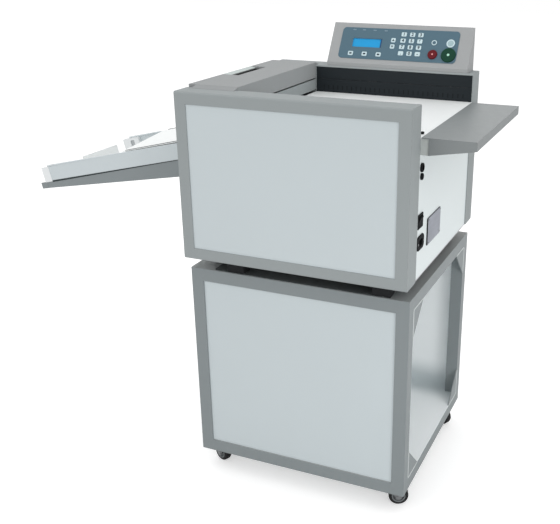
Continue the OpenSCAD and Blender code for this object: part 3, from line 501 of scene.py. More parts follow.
def coated_skin():
    """Paint, moulded plastic or rubber: slow drift of tone, fine peel, softened edges with wear, and a layer on upward
    faces that is a light dusting, and on some paints painted light and painted shade on their tops.
    """
    tree, given, result = effect_group(
        "coated_skin",
        {"Colour": COLOUR, "Worn": COLOUR, "Roughness": FLOAT, "Tone": FLOAT, "Peel": FLOAT, "Peel Scale": FLOAT,
         "Edge": FLOAT, "Wear": FLOAT, "Dusting And Top Shading": FLOAT, "Dusting And Top Shading Tone": COLOUR},
        {"Colour": COLOUR, "Roughness": FLOAT, "Normal": VECTOR})
    where = tree.nodes.new("ShaderNodeTexCoord").outputs["Object"]
    drift = add_node(tree, "ShaderNodeTexNoise", Vector=where, Scale=4.0, Detail=4.0)
    fine = add_node(tree, "ShaderNodeTexNoise", Vector=where, Scale=given["Peel Scale"], Detail=2.0)
    scuff = add_node(tree, "ShaderNodeTexNoise", Vector=where, Scale=55.0, Detail=5.0, Roughness=0.7)
    shape = tree.nodes.new("ShaderNodeNewGeometry")
    soft = add_node(tree, "ShaderNodeBevel", {"samples": 4}, Radius=given["Edge"])
    same = add_node(tree, "ShaderNodeVectorMath", {"operation": "DOT_PRODUCT"}, i0=soft.outputs[0],
                    i1=shape.outputs["True Normal"])
    corner = add_node(tree, "ShaderNodeMapRange", Value=same.outputs["Value"], From_Min=0.985, From_Max=0.86)
    patch = add_node(tree, "ShaderNodeMapRange", Value=scuff.outputs["Fac"], From_Min=0.42, From_Max=0.66)
    worn = maths(tree, "MULTIPLY", corner.outputs[0], patch.outputs[0])
    worn = maths(tree, "MULTIPLY", worn, given["Wear"])
    centred = maths(tree, "SUBTRACT", drift.outputs["Fac"], 0.5)
    gain = maths(tree, "MULTIPLY_ADD", centred, given["Tone"], 1.0)
    toned = add_node(tree, "ShaderNodeVectorMath", {"operation": "SCALE"}, i0=given["Colour"], Scale=gain)
    upward = add_node(tree, "ShaderNodeSeparateXYZ", Vector=shape.outputs["Normal"])
    level = add_node(tree, "ShaderNodeMapRange", Value=upward.outputs["Z"], From_Min=0.6, From_Max=1.0)
    top_share = maths(tree, "MULTIPLY", level.outputs[0], drift.outputs["Fac"])
    top_share = maths(tree, "MULTIPLY", top_share, given["Dusting And Top Shading"])
    top_toned = blend(tree, top_share, toned.outputs[0], given["Dusting And Top Shading Tone"])
    seen = blend(tree, worn, top_toned, given["Worn"])
    uneven = add_node(tree, "ShaderNodeMapRange", Value=scuff.outputs["Fac"], To_Min=-0.07, To_Max=0.07)
    rough = maths(tree, "ADD", given["Roughness"], uneven.outputs[0], clamp=True)
    relief = add_node(tree, "ShaderNodeBump", Strength=given["Peel"], Distance=0.0003, Height=fine.outputs["Fac"],
                      Normal=soft.outputs[0])
    tree.links.new(seen, result.inputs["Colour"])
    tree.links.new(rough, result.inputs["Roughness"])
    tree.links.new(relief.outputs[0], result.inputs["Normal"])
    return tree


def ground_metal():
    """Bare metal: long fine streaks along one axis, blotches of tarnish and softened edges."""
    tree, given, result = effect_group(
        "ground_metal",
        {"Colour": COLOUR, "Roughness": FLOAT, "Stretch": VECTOR, "Streak": FLOAT, "Edge": FLOAT},
        {"Colour": COLOUR, "Roughness": FLOAT, "Normal": VECTOR})
    where = tree.nodes.new("ShaderNodeTexCoord").outputs["Object"]
    drawn = add_node(tree, "ShaderNodeVectorMath", {"operation": "MULTIPLY"}, i0=where, i1=given["Stretch"])
    streak = add_node(tree, "ShaderNodeTexNoise", Vector=drawn.outputs[0], Scale=1.0, Detail=3.0)
    blotch = add_node(tree, "ShaderNodeTexNoise", Vector=where, Scale=22.0, Detail=4.0)
    shade = add_node(tree, "ShaderNodeMapRange", Value=streak.outputs["Fac"], From_Min=0.3, From_Max=0.7, To_Min=0.86,
                     To_Max=1.08)
    stain = add_node(tree, "ShaderNodeMapRange", Value=blotch.outputs["Fac"], From_Min=0.35, From_Max=0.7, To_Min=1.0,
                     To_Max=0.9)
    both = maths(tree, "MULTIPLY", shade.outputs[0], stain.outputs[0])
    seen = add_node(tree, "ShaderNodeVectorMath", {"operation": "SCALE"}, i0=given["Colour"], Scale=both)
    uneven = add_node(tree, "ShaderNodeMapRange", Value=streak.outputs["Fac"], To_Min=-0.1, To_Max=0.1)
    rough = maths(tree, "ADD", given["Roughness"], uneven.outputs[0], clamp=True)
    soft = add_node(tree, "ShaderNodeBevel", {"samples": 4}, Radius=given["Edge"])
    relief = add_node(tree, "ShaderNodeBump", Strength=given["Streak"], Distance=0.0001, Height=streak.outputs["Fac"],
                      Normal=soft.outputs[0])
    tree.links.new(seen.outputs[0], result.inputs["Colour"])
    tree.links.new(rough, result.inputs["Roughness"])
    tree.links.new(relief.outputs[0], result.inputs["Normal"])
    return tree


def painted_corner_shade():
    """Painted shade in the stand's lower corners: it fades smoothly with the distance from the corner's line along X.
    """
    tree, given, result = effect_group(
        "painted_corner_shade",
        {"Colour": COLOUR, "Corner Shade": COLOUR, "Corner": VECTOR, "Reach": FLOAT},
        {"Colour": COLOUR})
    where = tree.nodes.new("ShaderNodeTexCoord").outputs["Object"]
    either = add_node(tree, "ShaderNodeVectorMath", {"operation": "ABSOLUTE"}, i0=where)
    apart = add_node(tree, "ShaderNodeVectorMath", {"operation": "SUBTRACT"}, i0=either.outputs[0], i1=given["Corner"])
    across = add_node(tree, "ShaderNodeVectorMath", {"operation": "MULTIPLY"}, i0=apart.outputs[0], i1=(0.0, 1.0, 1.0))
    away = add_node(tree, "ShaderNodeVectorMath", {"operation": "LENGTH"}, i0=across.outputs[0])
    near = add_node(tree, "ShaderNodeMapRange", {"interpolation_type": "SMOOTHSTEP"}, Value=away.outputs["Value"],
                    From_Min=given["Reach"], From_Max=0.0)
    patch = add_node(tree, "ShaderNodeTexNoise", Vector=where, Scale=9.0, Detail=3.0)
    uneven = add_node(tree, "ShaderNodeMapRange", Value=patch.outputs["Fac"], From_Min=0.3, From_Max=0.7, To_Min=0.85,
                      To_Max=1.0)
    amount = maths(tree, "MULTIPLY", near.outputs[0], uneven.outputs[0])
    seen = blend(tree, amount, given["Colour"], given["Corner Shade"])
    tree.links.new(seen, result.inputs["Colour"])
    return tree


PALE_DUSTING_AND_TOP_LIGHT = (0.62, 0.60, 0.57, 1.0)
# Darker tone of the painted shade in the stand's lower corners.
CORNER_SHADE_TONE = srgb(178, 188, 191)
# Whiter than the pale panels: painted light standing in for the light inside the stand's bay, on its decks, coves and
# the rear panel's inner face.
BAY_LIT_TONE = srgb(245, 249, 250)
WALL_TONE = srgb(198, 206, 209)
TRAY_TONE = srgb(239, 242, 242)
COATED = coated_skin()
GROUND = ground_metal()
CORNER_SHADE_GROUP = painted_corner_shade()


def finish_from(name, skin, values, metallic=0.0, specular=0.5):
    """A material whose colour, roughness and normal come from a shared surface effect."""
    made = bpy.data.materials.new(name)
    made.use_nodes = True
    tree = made.node_tree
    surface = tree.nodes["Principled BSDF"]
    effect = tree.nodes.new("ShaderNodeGroup")
    effect.node_tree = skin
    for key, value in values.items():
        effect.inputs[key].default_value = value
    for given, socket in (("Colour", "Base Color"), ("Roughness", "Roughness"), ("Normal", "Normal")):
        tree.links.new(effect.outputs[given], surface.inputs[socket])
    surface.inputs["Metallic"].default_value = metallic
    surface.inputs["Specular IOR Level"].default_value = specular
    return made


def paint(name, colour, roughness=0.42, tone=0.06, wear=0.35, dusting_and_top_shading=0.05, specular=0.4, edge=0.8 * MM, top_shading_tone=PALE_DUSTING_AND_TOP_LIGHT):
    """Stoved paint on sheet steel, with the fine peel of a sprayed coat and a layer on its upper faces: a light
    dusting, and where it is strong, painted light on the tubes' tops and painted shade on the tops of covers, hood and
    shelf.
    """
    return finish_from(name, COATED, {"Colour": colour, "Worn": (0.45, 0.46, 0.46, 1), "Roughness": roughness,
                                      "Tone": tone, "Peel": 0.10, "Peel Scale": 700.0, "Edge": edge, "Wear": wear,
                                      "Dusting And Top Shading": dusting_and_top_shading, "Dusting And Top Shading Tone": top_shading_tone}, specular=specular)


def moulded(name, colour, roughness=0.5, peel=0.12, dusting_and_top_shading=0.03, tone=0.05, specular=0.35):
    """Moulded plastic with a fine spark-eroded grain."""
    return finish_from(name, COATED, {"Colour": colour, "Worn": colour, "Roughness": roughness, "Tone": tone,
                                      "Peel": peel, "Peel Scale": 1600.0, "Edge": 0.4 * MM, "Wear": 0.0, "Dusting And Top Shading": dusting_and_top_shading,
                                      "Dusting And Top Shading Tone": PALE_DUSTING_AND_TOP_LIGHT}, specular=specular)


def rubber(name, colour):
    """Dull rubber with a scuffed face and a light dusting."""
    return finish_from(name, COATED, {"Colour": colour, "Worn": (0.12, 0.12, 0.12, 1), "Roughness": 0.78, "Tone": 0.25,
                                      "Peel": 0.3, "Peel Scale": 900.0, "Edge": 0.6 * MM, "Wear": 0.5, "Dusting And Top Shading": 0.12,
                                      "Dusting And Top Shading Tone": PALE_DUSTING_AND_TOP_LIGHT}, specular=0.3)


def metal(name, colour, roughness, stretch, streak=0.12):
    """Ground or plated steel with its streaks along one axis."""
    return finish_from(name, GROUND, {"Colour": colour, "Roughness": roughness, "Stretch": stretch, "Streak": streak,
                                      "Edge": 0.4 * MM}, metallic=1.0)


def wall_tone(finish, wall, inner):
    """Gives a folded sheet's side walls, further than inner from the middle plane, a tone of their own."""
    tree = finish.node_tree
    skin = tree.nodes["Group"]
    where = tree.nodes.new("ShaderNodeTexCoord").outputs["Object"]
    across = add_node(tree, "ShaderNodeSeparateXYZ", Vector=where)
    off = maths(tree, "ABSOLUTE", across.outputs["Y"])
    beyond = maths(tree, "GREATER_THAN", off, inner)
    tone = blend(tree, beyond, skin.inputs["Colour"].default_value, wall)
    tree.links.new(tone, skin.inputs["Colour"])


def corner_shaded(finish):
    """Paints shade on a pale sheet near the stand's lower corners, under any tone of its walls."""
    tree = finish.node_tree
    walls = tree.nodes.get("Mix")
    socket = walls.inputs[6] if walls else tree.nodes["Group"].inputs["Colour"]
    corner_shade_node = tree.nodes.new("ShaderNodeGroup")
    corner_shade_node.node_tree = CORNER_SHADE_GROUP
    corner_shade_node.inputs["Colour"].default_value = socket.default_value
    corner_shade_node.inputs["Corner Shade"].default_value = CORNER_SHADE_TONE
    corner_shade_node.inputs["Corner"].default_value = (0.0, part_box("stand_rear_panel")[0][1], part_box("stand_gussets")[0][2])
    corner_shade_node.inputs["Reach"].default_value = CORNER_SHADE_REACH
    tree.links.new(corner_shade_node.outputs["Colour"], socket)


# The tubes' strong pale layer on upward faces is painted light on their tops.
TUBE_GREY = paint("tube_grey_paint", srgb(131, 138, 140), dusting_and_top_shading=0.4)
# The covers' and hood's strong dark layers on upward faces are painted shade on their tops.
COVER_GREY = paint("cover_grey_paint", srgb(151, 157, 158), roughness=0.55, specular=0.1, dusting_and_top_shading=0.6,
                   top_shading_tone=srgb(128, 133, 134))
HOOD_GREY = paint("hood_grey_paint", srgb(151, 154, 155), roughness=0.55, specular=0.1, dusting_and_top_shading=0.6,
                  top_shading_tone=srgb(128, 130, 131))
CONSOLE_GREY = paint("console_grey_paint", srgb(160, 162, 163), roughness=0.5, specular=0.2)
# The shelf's strong dark layer on upward faces is painted shade on its top.
SHELF_GREY = paint("shelf_grey_paint", srgb(131, 136, 137), roughness=0.44, dusting_and_top_shading=0.4, top_shading_tone=srgb(112, 117, 118))
BRACKET_PALE = paint("bracket_pale_paint", srgb(186, 191, 189))
PALE_PANEL = paint("pale_panel_paint", srgb(195, 204, 207), roughness=0.36, wear=0.1, tone=0.04)
# Pale rods by the gussets: painted highlight.
HIGHLIGHT_PALE = paint("highlight_pale_paint", srgb(206, 211, 211), wear=0.0)
HEM_PALE = paint("hem_pale_paint", WALL_TONE, roughness=0.40, wear=0.2, tone=0.04)
BAY_WHITE = paint("bay_white_paint", BAY_LIT_TONE, roughness=0.40, wear=0.15, tone=0.04)
BAY_COVE = paint("bay_cove_paint", BAY_LIT_TONE, roughness=0.40, wear=0.0, tone=0.04, edge=0.0)
BAY_BACK = paint("bay_back_paint", BAY_LIT_TONE, roughness=0.38, wear=0.1, tone=0.04)
# The rear panel's inner face takes the whiter tone as painted light; its outer face keeps a pale tone of its own.
wall_tone(BAY_BACK, srgb(192, 201, 204), sum(corner[1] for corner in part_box("stand_rear_panel")) / 2)
# Painted shade in the bay's lower corners, on each bay paint.
for bay_paint in (BAY_WHITE, BAY_COVE, BAY_BACK):
    corner_shaded(bay_paint)
# A darker copy of the table's white: painted shade on the end panels.
END_SHADED_WHITE = paint("end_shaded_white_paint", srgb(222, 230, 231), roughness=0.38, wear=0.12, tone=0.03)
TABLE_WHITE = paint("table_white_paint", srgb(244, 247, 247), roughness=0.36, wear=0.1, tone=0.02)
TRAY_FOLDED = paint("tray_folded_paint", TRAY_TONE, roughness=0.40, wear=0.2, tone=0.04)
wall_tone(TRAY_FOLDED, WALL_TONE, TRAY_HALF - 1.3 * TRAY_SHEET)
TRAY_WHITE = paint("tray_white_paint", TRAY_TONE, roughness=0.40, wear=0.2, tone=0.04)
FENCE_BLACK = paint("fence_black_paint", srgb(30, 36, 40), roughness=0.62, wear=0.2, dusting_and_top_shading=0.02, specular=0.2)
SLOT_BLACK = moulded("slot_black", srgb(20, 25, 28), roughness=0.7, dusting_and_top_shading=0.0, specular=0.15)
MOTOR_BLACK = paint("motor_black_paint", srgb(34, 34, 36), roughness=0.45)
BLACK_PLASTIC = moulded("black_plastic", srgb(22, 24, 26), roughness=0.65, specular=0.1)
HUB_PLASTIC = moulded("hub_plastic", srgb(120, 124, 126))
KEYPAD_FILM = moulded("keypad_film", srgb(80, 107, 121), roughness=0.55, peel=0.06, specular=0.25)
KEY_PALE = moulded("key_pale_print", srgb(196, 216, 221), roughness=0.5, peel=0.04)
KEY_DARK = moulded("key_dark_print", srgb(34, 50, 62), roughness=0.55, peel=0.04, specular=0.2)
RING_PALE = moulded("ring_disc_pale", srgb(160, 185, 190), roughness=0.4, peel=0.0)
LAMP_DIM = moulded("lamp_dim", srgb(118, 140, 154), roughness=0.4, peel=0.0)
DISPLAY_BLUE = moulded("display_blue", srgb(12, 152, 212), roughness=0.3, peel=0.0, dusting_and_top_shading=0.0, tone=0.10)
# Dark strip in the display's opening: painted shade.
DISPLAY_SHADE_BLUE = moulded("display_shade_blue", srgb(14, 66, 112), roughness=0.4, peel=0.0, dusting_and_top_shading=0.0)
GREEN_CAP = moulded("green_cap", srgb(0, 58, 40), roughness=0.5, peel=0.03, specular=0.2, dusting_and_top_shading=0.0)
RED_CAP = moulded("red_cap", srgb(96, 8, 20), roughness=0.5, peel=0.03, specular=0.2, dusting_and_top_shading=0.0)
# Pale discs on the push buttons: painted highlights.
GREEN_HIGHLIGHT = moulded("green_centre_highlight", srgb(176, 226, 204), roughness=0.4, peel=0.0)
RED_HIGHLIGHT = moulded("red_centre_highlight", srgb(236, 168, 166), roughness=0.4, peel=0.0)
CAP_WHITE = moulded("end_cap_white", srgb(228, 231, 232), roughness=0.4)
# Grey field in the cap recesses: painted shade.
CAP_RECESS_SHADE = moulded("end_cap_recess_shade", srgb(178, 182, 184), roughness=0.5)
RAMP_PALE = moulded("finger_plate_pale", srgb(178, 188, 186), roughness=0.5)
TYRE_RUBBER = rubber("tyre_rubber", srgb(36, 36, 37))
FOOT_RUBBER = rubber("foot_rubber", srgb(34, 35, 36))
PAD_RUBBER = rubber("pad_rubber", srgb(24, 26, 28))
# Dark sheet on the stand's top: painted shade under the machine.
SHADE_MAT_RUBBER = rubber("shade_mat_rubber", srgb(60, 66, 68))
ROLLER_RUBBER = rubber("roller_rubber", srgb(44, 44, 46))
BELT_RUBBER = rubber("belt_rubber", srgb(28, 28, 29))
# Dark strips and rods on the tray: painted shade in the gaps at its walls and under its apron.
SHADE_STRIP_RUBBER = rubber("shade_strip_rubber", srgb(46, 53, 55))
PLATED_STEEL = metal("plated_steel", srgb(150, 152, 154), 0.42, (260.0, 260.0, 30.0))
GROUND_STEEL = metal("ground_steel", srgb(190, 191, 193), 0.32, (500.0, 12.0, 500.0))
PLATE_METAL = metal("plate_metal", srgb(176, 180, 190), 0.45, (600.0, 14.0, 600.0))

CORNERS = ("fl", "fr", "rl", "rr")
NODE_FINISH = {
    TUBE_GREY: ("stand_posts", "stand_top_rails", "stand_bottom_rails", "stand_gussets", "tray_brackets"),
    COVER_GREY: ("front_cover", "rear_cover", "entry_bar"),
    HOOD_GREY: ("hood",),
    CONSOLE_GREY: ("console_housing",),
    SHELF_GREY: ("infeed_shelf",),
    BRACKET_PALE: ("shelf_bracket",),
    PALE_PANEL: ("stand_front_panel", "front_panel", "rear_panel"),
    BAY_WHITE: ("stand_decks",),
    BAY_BACK: ("stand_rear_panel",),
    END_SHADED_WHITE: ("infeed_end_panel", "delivery_end_panel"),
    TABLE_WHITE: ("feed_table",),
    TRAY_FOLDED: ("delivery_tray",),
    TRAY_WHITE: ("tray_apron", "paper_stop"),
    FENCE_BLACK: ("side_fence",),
    MOTOR_BLACK: ("feed_motor", "crease_motor"),
    BLACK_PLASTIC: ("switch_frame", "power_rocker", "mains_inlet", "sensor_sockets"),
    KEYPAD_FILM: ("keypad",),
    DISPLAY_BLUE: ("display_window",),
    GREEN_CAP: ("start_button",),
    RED_CAP: ("stop_button",),
    FOOT_RUBBER: ("machine_feet",),
    ROLLER_RUBBER: ("feed_roller_lower", "feed_roller_upper", "exit_roller_lower", "exit_roller_upper"),
    BELT_RUBBER: ("feed_belt",),
    GROUND_STEEL: ("mech_side_plates", "crease_anvil", "crease_yoke", "crease_blade", "camshaft", "hood_hinge_pins",
                   "base_plate"),
    PLATED_STEEL: ("caster_plates", *(f"caster_fork_{corner}" for corner in CORNERS)),
    HUB_PLASTIC: tuple(f"caster_hub_{corner}" for corner in CORNERS),
    TYRE_RUBBER: tuple(f"caster_tyre_{corner}" for corner in CORNERS),
}
for finish, names in NODE_FINISH.items():
    for name in names:
        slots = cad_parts[name].data.materials
        slots.clear()
        slots.append(finish)


# Console details

def key_caps(face):
    """Pale domed key tops on the membrane, each with a plain dark mark on it."""
    rise = KEY_TOP + KEY_DOME
    mark = rise + MARK_RISE
    key_top = lambda spot, size: slab(face, spot, *size, KEY_ROUND, KEYPAD_TOP, rise, KEY_DOME)
    tops, marks = [], []
    spots = [spot_at(u, v) for v in NUMBER_ROWS for u in NUMBER_COLUMNS]
    for text, spot in zip(KEY_FIGURES, spots):
        tops.append(key_top(spot, NUMBER_KEY))
        marks.append(figure(text, FIGURE_SIZE, face, spot, mark - FIGURE_HALF + FIGURE_LIFT))
    for u, v in MENU_KEYS:
        tops.append(key_top(spot_at(u, v), NUMBER_KEY))
        marks.append(slab(face, spot_at(u, v), *MENU_MARK, KEY_TOP, mark, MARK_EDGE))
    for u, v, way in ARROW_KEYS:
        tops.append(key_top(spot_at(u, v), ARROW_KEY))
        arrow = (ARROW * [1, way])[::way] + spot_at(u, v)
        marks.append(stacked(face, [arrow, arrow], [KEY_TOP, mark]))
    add_piece("key_tops", *joined(tops), KEY_PALE, "keypad_blue")
    add_piece("key_marks", *joined(marks), KEY_DARK, "keypad_blue")


def ring_keys(face):
    """Raised pale hoops on the membrane, the larger one round a dim disc."""
    top = KEY_TOP + RING_RISE
    hoops = [hoop(face, spot_at(u, v), width / 2 * MM, width * RING_BORE * MM, KEYPAD_TOP, top, SOFT_EDGE)
             for u, v, width in RING_KEYS]
    add_piece("ring_keys", *joined(hoops), KEY_PALE, "keypad_blue")
    u, v, width = RING_KEYS[-1]
    foot, upper = width * DISC_FOOT * MM, width * DISC_TOP * MM
    profile = [(foot, KEYPAD_TOP), (foot, KEY_TOP), (upper, KEY_TOP + DISC_RISE)]
    add_piece("ring_disc", *turned(face, spot_at(u, v), profile), RING_PALE, "keypad_blue")


def indicator_lamps(face):
    """Small lamp windows above the display."""
    lamps = [slab(face, spot_at(u, v), *INDICATOR_SIZE, KEYPAD_TOP, KEYPAD_TOP + INDICATOR_RISE, SOFT_EDGE)
             for u, v in INDICATORS]
    add_piece("indicator_lamps", *joined(lamps), LAMP_DIM, "keypad_blue")


def display_shade_strip(face):
    """A dark strip down the right of the display, inside its opening, painted shade standing in for the shadow of the
    opening's edge: a thin rounded slab.
    """
    middle = np.array([DISPLAY_RIGHT - BORDER_WIDE / 2, DISPLAY_MIDDLE])
    part = slab(face, middle, BORDER_WIDE, DISPLAY_TALL, BORDER_ROUND, *BORDER_DEPTHS, FINE_EDGE)
    add_piece("display_shade_strip", *part, DISPLAY_SHADE_BLUE, "display_blue")


def button_centres(face):
    """A domed pale disc in the middle of each push button, a painted highlight: height falls with the square of the
    radius.
    """
    base = KEYPAD_TOP + BUTTON_RISE
    for name, (u, v, width), finish, slot, body in (
            ("start_centre", START_AT, GREEN_HIGHLIGHT, "start_green", "start_key"),
            ("stop_centre", STOP_AT, RED_HIGHLIGHT, "stop_red", "stop_key")):
        radius = CENTRE_SHARE * width * MM
        profile = [(radius, base - CENTRE_SUNK)]
        profile += [(radius * share, base + CENTRE_DOME * (1 - share * share)) for share in CENTRE_RINGS]
        add_piece(name, *turned(face, spot_at(u, v), profile), finish, slot, body=body, smooth=True)


face = console_face()
key_caps(face)
ring_keys(face)
indicator_lamps(face)
display_shade_strip(face)
button_centres(face)


# Infeed end details

def screw(place, centre, radius):
    """A pan-head screw: a quarter-ellipse dome turned about its axis."""
    profile = [(radius, 0.0)]
    profile += [(radius * math.cos(a), radius * (SCREW_RIM + SCREW_DOME * math.sin(a))) for a in SCREW_TURN]
    return turned(place, centre, profile, steps=20)


def data_plate(panel):
    """A bare metal plate with a rivet in each corner, on a dark slab that shows at its edge, widest on the left, as
    painted shade at the plate's edge.
    """
    width, height = PLATE_SIZE
    # The dark slab behind the plate shows mostly on the left: painted shade.
    shade_backing = slab(panel, PLATE_AT - [SHADE_BACKING_OVER, 0], width + SHADE_BACKING_OVER, height, PLATE_ROUND, 0,
                   PLATE_RISE - SHADE_BACKING_SUNK, SMALL_EDGE)
    plate = slab(panel, PLATE_AT, width - PLATE_LAP, height - PLATE_LAP, PLATE_ROUND, SHADE_BACKING_SUNK, PLATE_RISE,
                 SOFT_EDGE)
    add_piece("plate_shade_backing", *shade_backing, BLACK_PLASTIC, "black_plastic")
    add_piece("bare_plate", *plate, PLATE_METAL, "mech_steel")
    corner = PLATE_SIZE / 2 - RIVET_INSET
    rivets = [screw(lifted(panel, PLATE_RISE), PLATE_AT + corner * [x, y], RIVET_RADIUS)
              for x in (-1, 1) for y in (-1, 1)]
    add_piece("plate_rivets", *joined(rivets), PLATED_STEEL, "caster_steel", smooth=True)


def inlet_socket(panel):
    """The mains inlet: round outlines stacked from its back, out over the panel, round the flange and down the well."""
    low, high = np.array(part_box("mains_inlet"))
    middle = ((low + high) / 2)[1:]
    size = (high - low)[1:]
    out = high[0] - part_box("infeed_end_panel")[1][0]
    back = out - (high - low)[0]
    outline = lambda inset, radius: round_outline(*(size - 2 * inset), radius) + middle
    shell = outline(INLET_LAP + INLET_PLAY, INLET_ROUND)
    flange = outline(0, INLET_CORNER)
    rim = outline(INLET_EDGE, INLET_CORNER - INLET_EDGE)
    well = round_outline(*INLET_WELL) + middle
    rings = [shell, shell, flange, flange, rim, well, well]
    heights = [back, 0, 0, out - INLET_EDGE, out, out, back + INLET_FLOOR]
    add_piece("inlet_socket", *stacked(panel, rings, heights), BLACK_PLASTIC, "black_plastic", node="mains_inlet")
    pins = [slab(panel, middle + spot_at(*spot), *INLET_PIN, back + PIN_FOOT, PIN_TIP, SOFT_EDGE)
            for spot in INLET_PINS]
    add_piece("inlet_pins", *joined(pins), PLATED_STEEL, "caster_steel")
    heads = [screw(lifted(panel, out), middle + [side * INLET_SCREW_OFF, 0], INLET_SCREW) for side in (-1, 1)]
    add_piece("inlet_screws", *joined(heads), PLATED_STEEL, "caster_steel", smooth=True)


panel = end_face()
data_plate(panel)
inlet_socket(panel)


# Tray, hood, table and stand details

def tray_end_caps():
    """White caps on the lower ends of the tray walls: a skin and a nose, and an inner block sunk round a grey field
    that is painted shade in the recess.
    """
    skins, blocks, fields = [], [], []
    for side in (-1, 1):
        place = tray_side(side)
        for middle, width, taller, low, high, edge in CAP_SHELLS:
            centre = np.array([middle, TRAY_WALL / 2])
            skins.append(facing(side, slab(place, centre, width, TRAY_WALL + taller, CAP_ROUND, low, high, edge)))
        inward = lambda points: place(np.asarray(points) * [1, 1, -1] - [0, 0, TRAY_SHEET])
        outer = round_outline(*CAP_BLOCK, CAP_ROUND) + [CAP_BLOCK_AT, CAP_MIDDLE]
        inner = round_outline(*CAP_FIELD) + [CAP_FIELD_AT, CAP_MIDDLE]
        block = stacked(inward, [outer, outer, inner, inner], [0, CAP_DEPTH, CAP_DEPTH, CAP_SUNK])
        blocks.append(facing(-side, block))
        fields.append(facing(-side, stacked(inward, [inner, inner], CAP_FIELD_DEPTHS)))
    add_piece("tray_cap_skins", *joined(skins), CAP_WHITE, "sheet_white")
    add_piece("tray_cap_blocks", *joined(blocks), CAP_WHITE, "sheet_white")
    add_piece("tray_cap_fields", *joined(fields), CAP_RECESS_SHADE, "panel_pale")


def tray_shade_strips():
    """A dark strip between each tray wall and its bracket, painted shade standing in for the shadow in the gap there:
    its height falls evenly from the lower end to the body.
    """
    along = np.linspace(SHADE_STRIP_START, TRAY_LENGTH, SHADE_STRIP_STEPS)
    tall = np.linspace(*SHADE_STRIP_TALL, SHADE_STRIP_STEPS)
    ring = np.stack([np.concatenate([along, along[::-1]]), np.concatenate([-tall, tall[::-1]])], -1)
    strips = [facing(side, stacked(tray_side(side), [ring, ring], SHADE_STRIP_DEPTHS)) for side in (-1, 1)]
    add_piece("tray_shade_strips", *joined(strips), SHADE_STRIP_RUBBER, "belt_rubber")


def finger_plate():
    """A pale plate on the ramp that leads to the hood's finger slot."""
    length = math.hypot(RAMP_RUN, RAMP_DROP)
    part = slab(hood_ramp(), np.array([length / 2, 0]), length - FINGER_GAP, RAMP_LENGTH - FINGER_END_GAP, FINGER_ROUND,
                *FINGER_DEPTHS, SMALL_EDGE)
    add_piece("finger_plate", *part, RAMP_PALE, "panel_pale", body="hood_lid")


def cover_ramps():
    """A low ramp on each cover beside the hood: a wedge's outline carried along X, rising from its left end."""
    low, high = np.array(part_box("hood"))
    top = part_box("front_cover")[1][2]
    inner, outer = low[1] - WEDGE_GAP, low[1] - WEDGE_REACH
    wedge = lambda rise: np.array([[outer, top], [inner, top], [inner, top + rise], [outer, top + WEDGE_LIP]])
    crest = wedge(high[2] - top - WEDGE_UNDER)
    rings = [wedge(WEDGE_START), crest, crest]
    stations = [low[0] + WEDGE_FIRST, low[0] + WEDGE_FULL, high[0]]
    near = stacked(along_x, rings, stations)
    far = flipped(stacked(along_x, [ring * [-1, 1] for ring in rings], stations))
    add_piece("cover_ramps", *joined([near, far]), HOOD_GREY, "cover_grey")


def paper_sensor():
    """A small black knob at the front edge of the table: a stem with a rounded head, turned about its axis."""
    profile = [(KNOB_STEM, 0), (KNOB_STEM, KNOB_NECK), (KNOB_HEAD, KNOB_SHOULDER)]
    profile += [(KNOB_HEAD * math.cos(a), KNOB_RIM + KNOB_DOME * math.sin(a)) for a in KNOB_TURN]
    add_piece("paper_sensor", *turned(table_top(), KNOB_AT, profile), BLACK_PLASTIC, "black_plastic")


def fence_slots():
    """A row of short upright slots in the lower half of the fence."""
    part = [slab(fence_face(), np.array([x, SLOT_MIDDLE]), *SLOT_SIZE, *SLOT_DEPTHS, FINE_EDGE)
            for x in np.linspace(SLOT_FIRST, SLOT_LAST, SLOT_COUNT)]
    add_piece("fence_slots", *joined(part), SLOT_BLACK, "fence_black")


def stand_shade_mat():
    """A dark sheet with a rubber finish on the stand's top, under the machine, painted shade standing in for the shadow
    under the body: a rounded slab with a soft upper edge.
    """
    low, high = np.array(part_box("stand_posts"))
    size = (high - low)[:2] - 2 * SHADE_MAT_INSET
    part = slab(stand_top(), np.zeros(2), *size, SHADE_MAT_ROUND, 0, SHADE_MAT_TALL, SHADE_MAT_EDGE)
    add_piece("stand_shade_mat", *part, SHADE_MAT_RUBBER, "foot_rubber")


def front_pads():
    """Two rubber pads under the front cover: rounded slabs from the mat's level to the cover."""
    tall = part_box("front_cover")[0][2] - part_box("stand_posts")[1][2]
    pads = [slab(stand_top(), spot_at(*spot), *PAD_SIZE, PAD_FOOT, tall - PAD_GAP, PAD_EDGE) for spot in PAD_AT]
    add_piece("front_pads", *joined(pads), PAD_RUBBER, "foot_rubber")


def tray_hems():
    """A rolled hem on the upper edge of each tray wall: an upright ellipse along it, sinking evenly to the body."""
    paths = [tray_side(side)(np.linspace(*HEM_ENDS, ROD_STEPS) * MM) for side in (-1, 1)]
    hems = [rod(path, (0.0, 1, 0), HEM_TALL, HEM_WIDE) for path in paths]
    add_piece("tray_hems", *joined(hems), HEM_PALE, "sheet_white", smooth=True)


def apron_shade_rods():
    """A dark rod along each side of the raised apron, painted shade standing in for the shadow under the apron's edge:
    a circle carried up the slope.
    """
    painted_rods = []
    for side, start in SHADE_ROD_STARTS:
        path = tray_side(side)(np.linspace([start, *SHADE_ROD_AT], [SHADE_ROD_END, *SHADE_ROD_AT], ROD_STEPS) * MM)
        painted_rods.append(rod(path, (0.0, 1, 0), SHADE_ROD_RADIUS, SHADE_ROD_RADIUS))
    add_piece("apron_shade_rods", *joined(painted_rods), SHADE_STRIP_RUBBER, "belt_rubber", smooth=True)


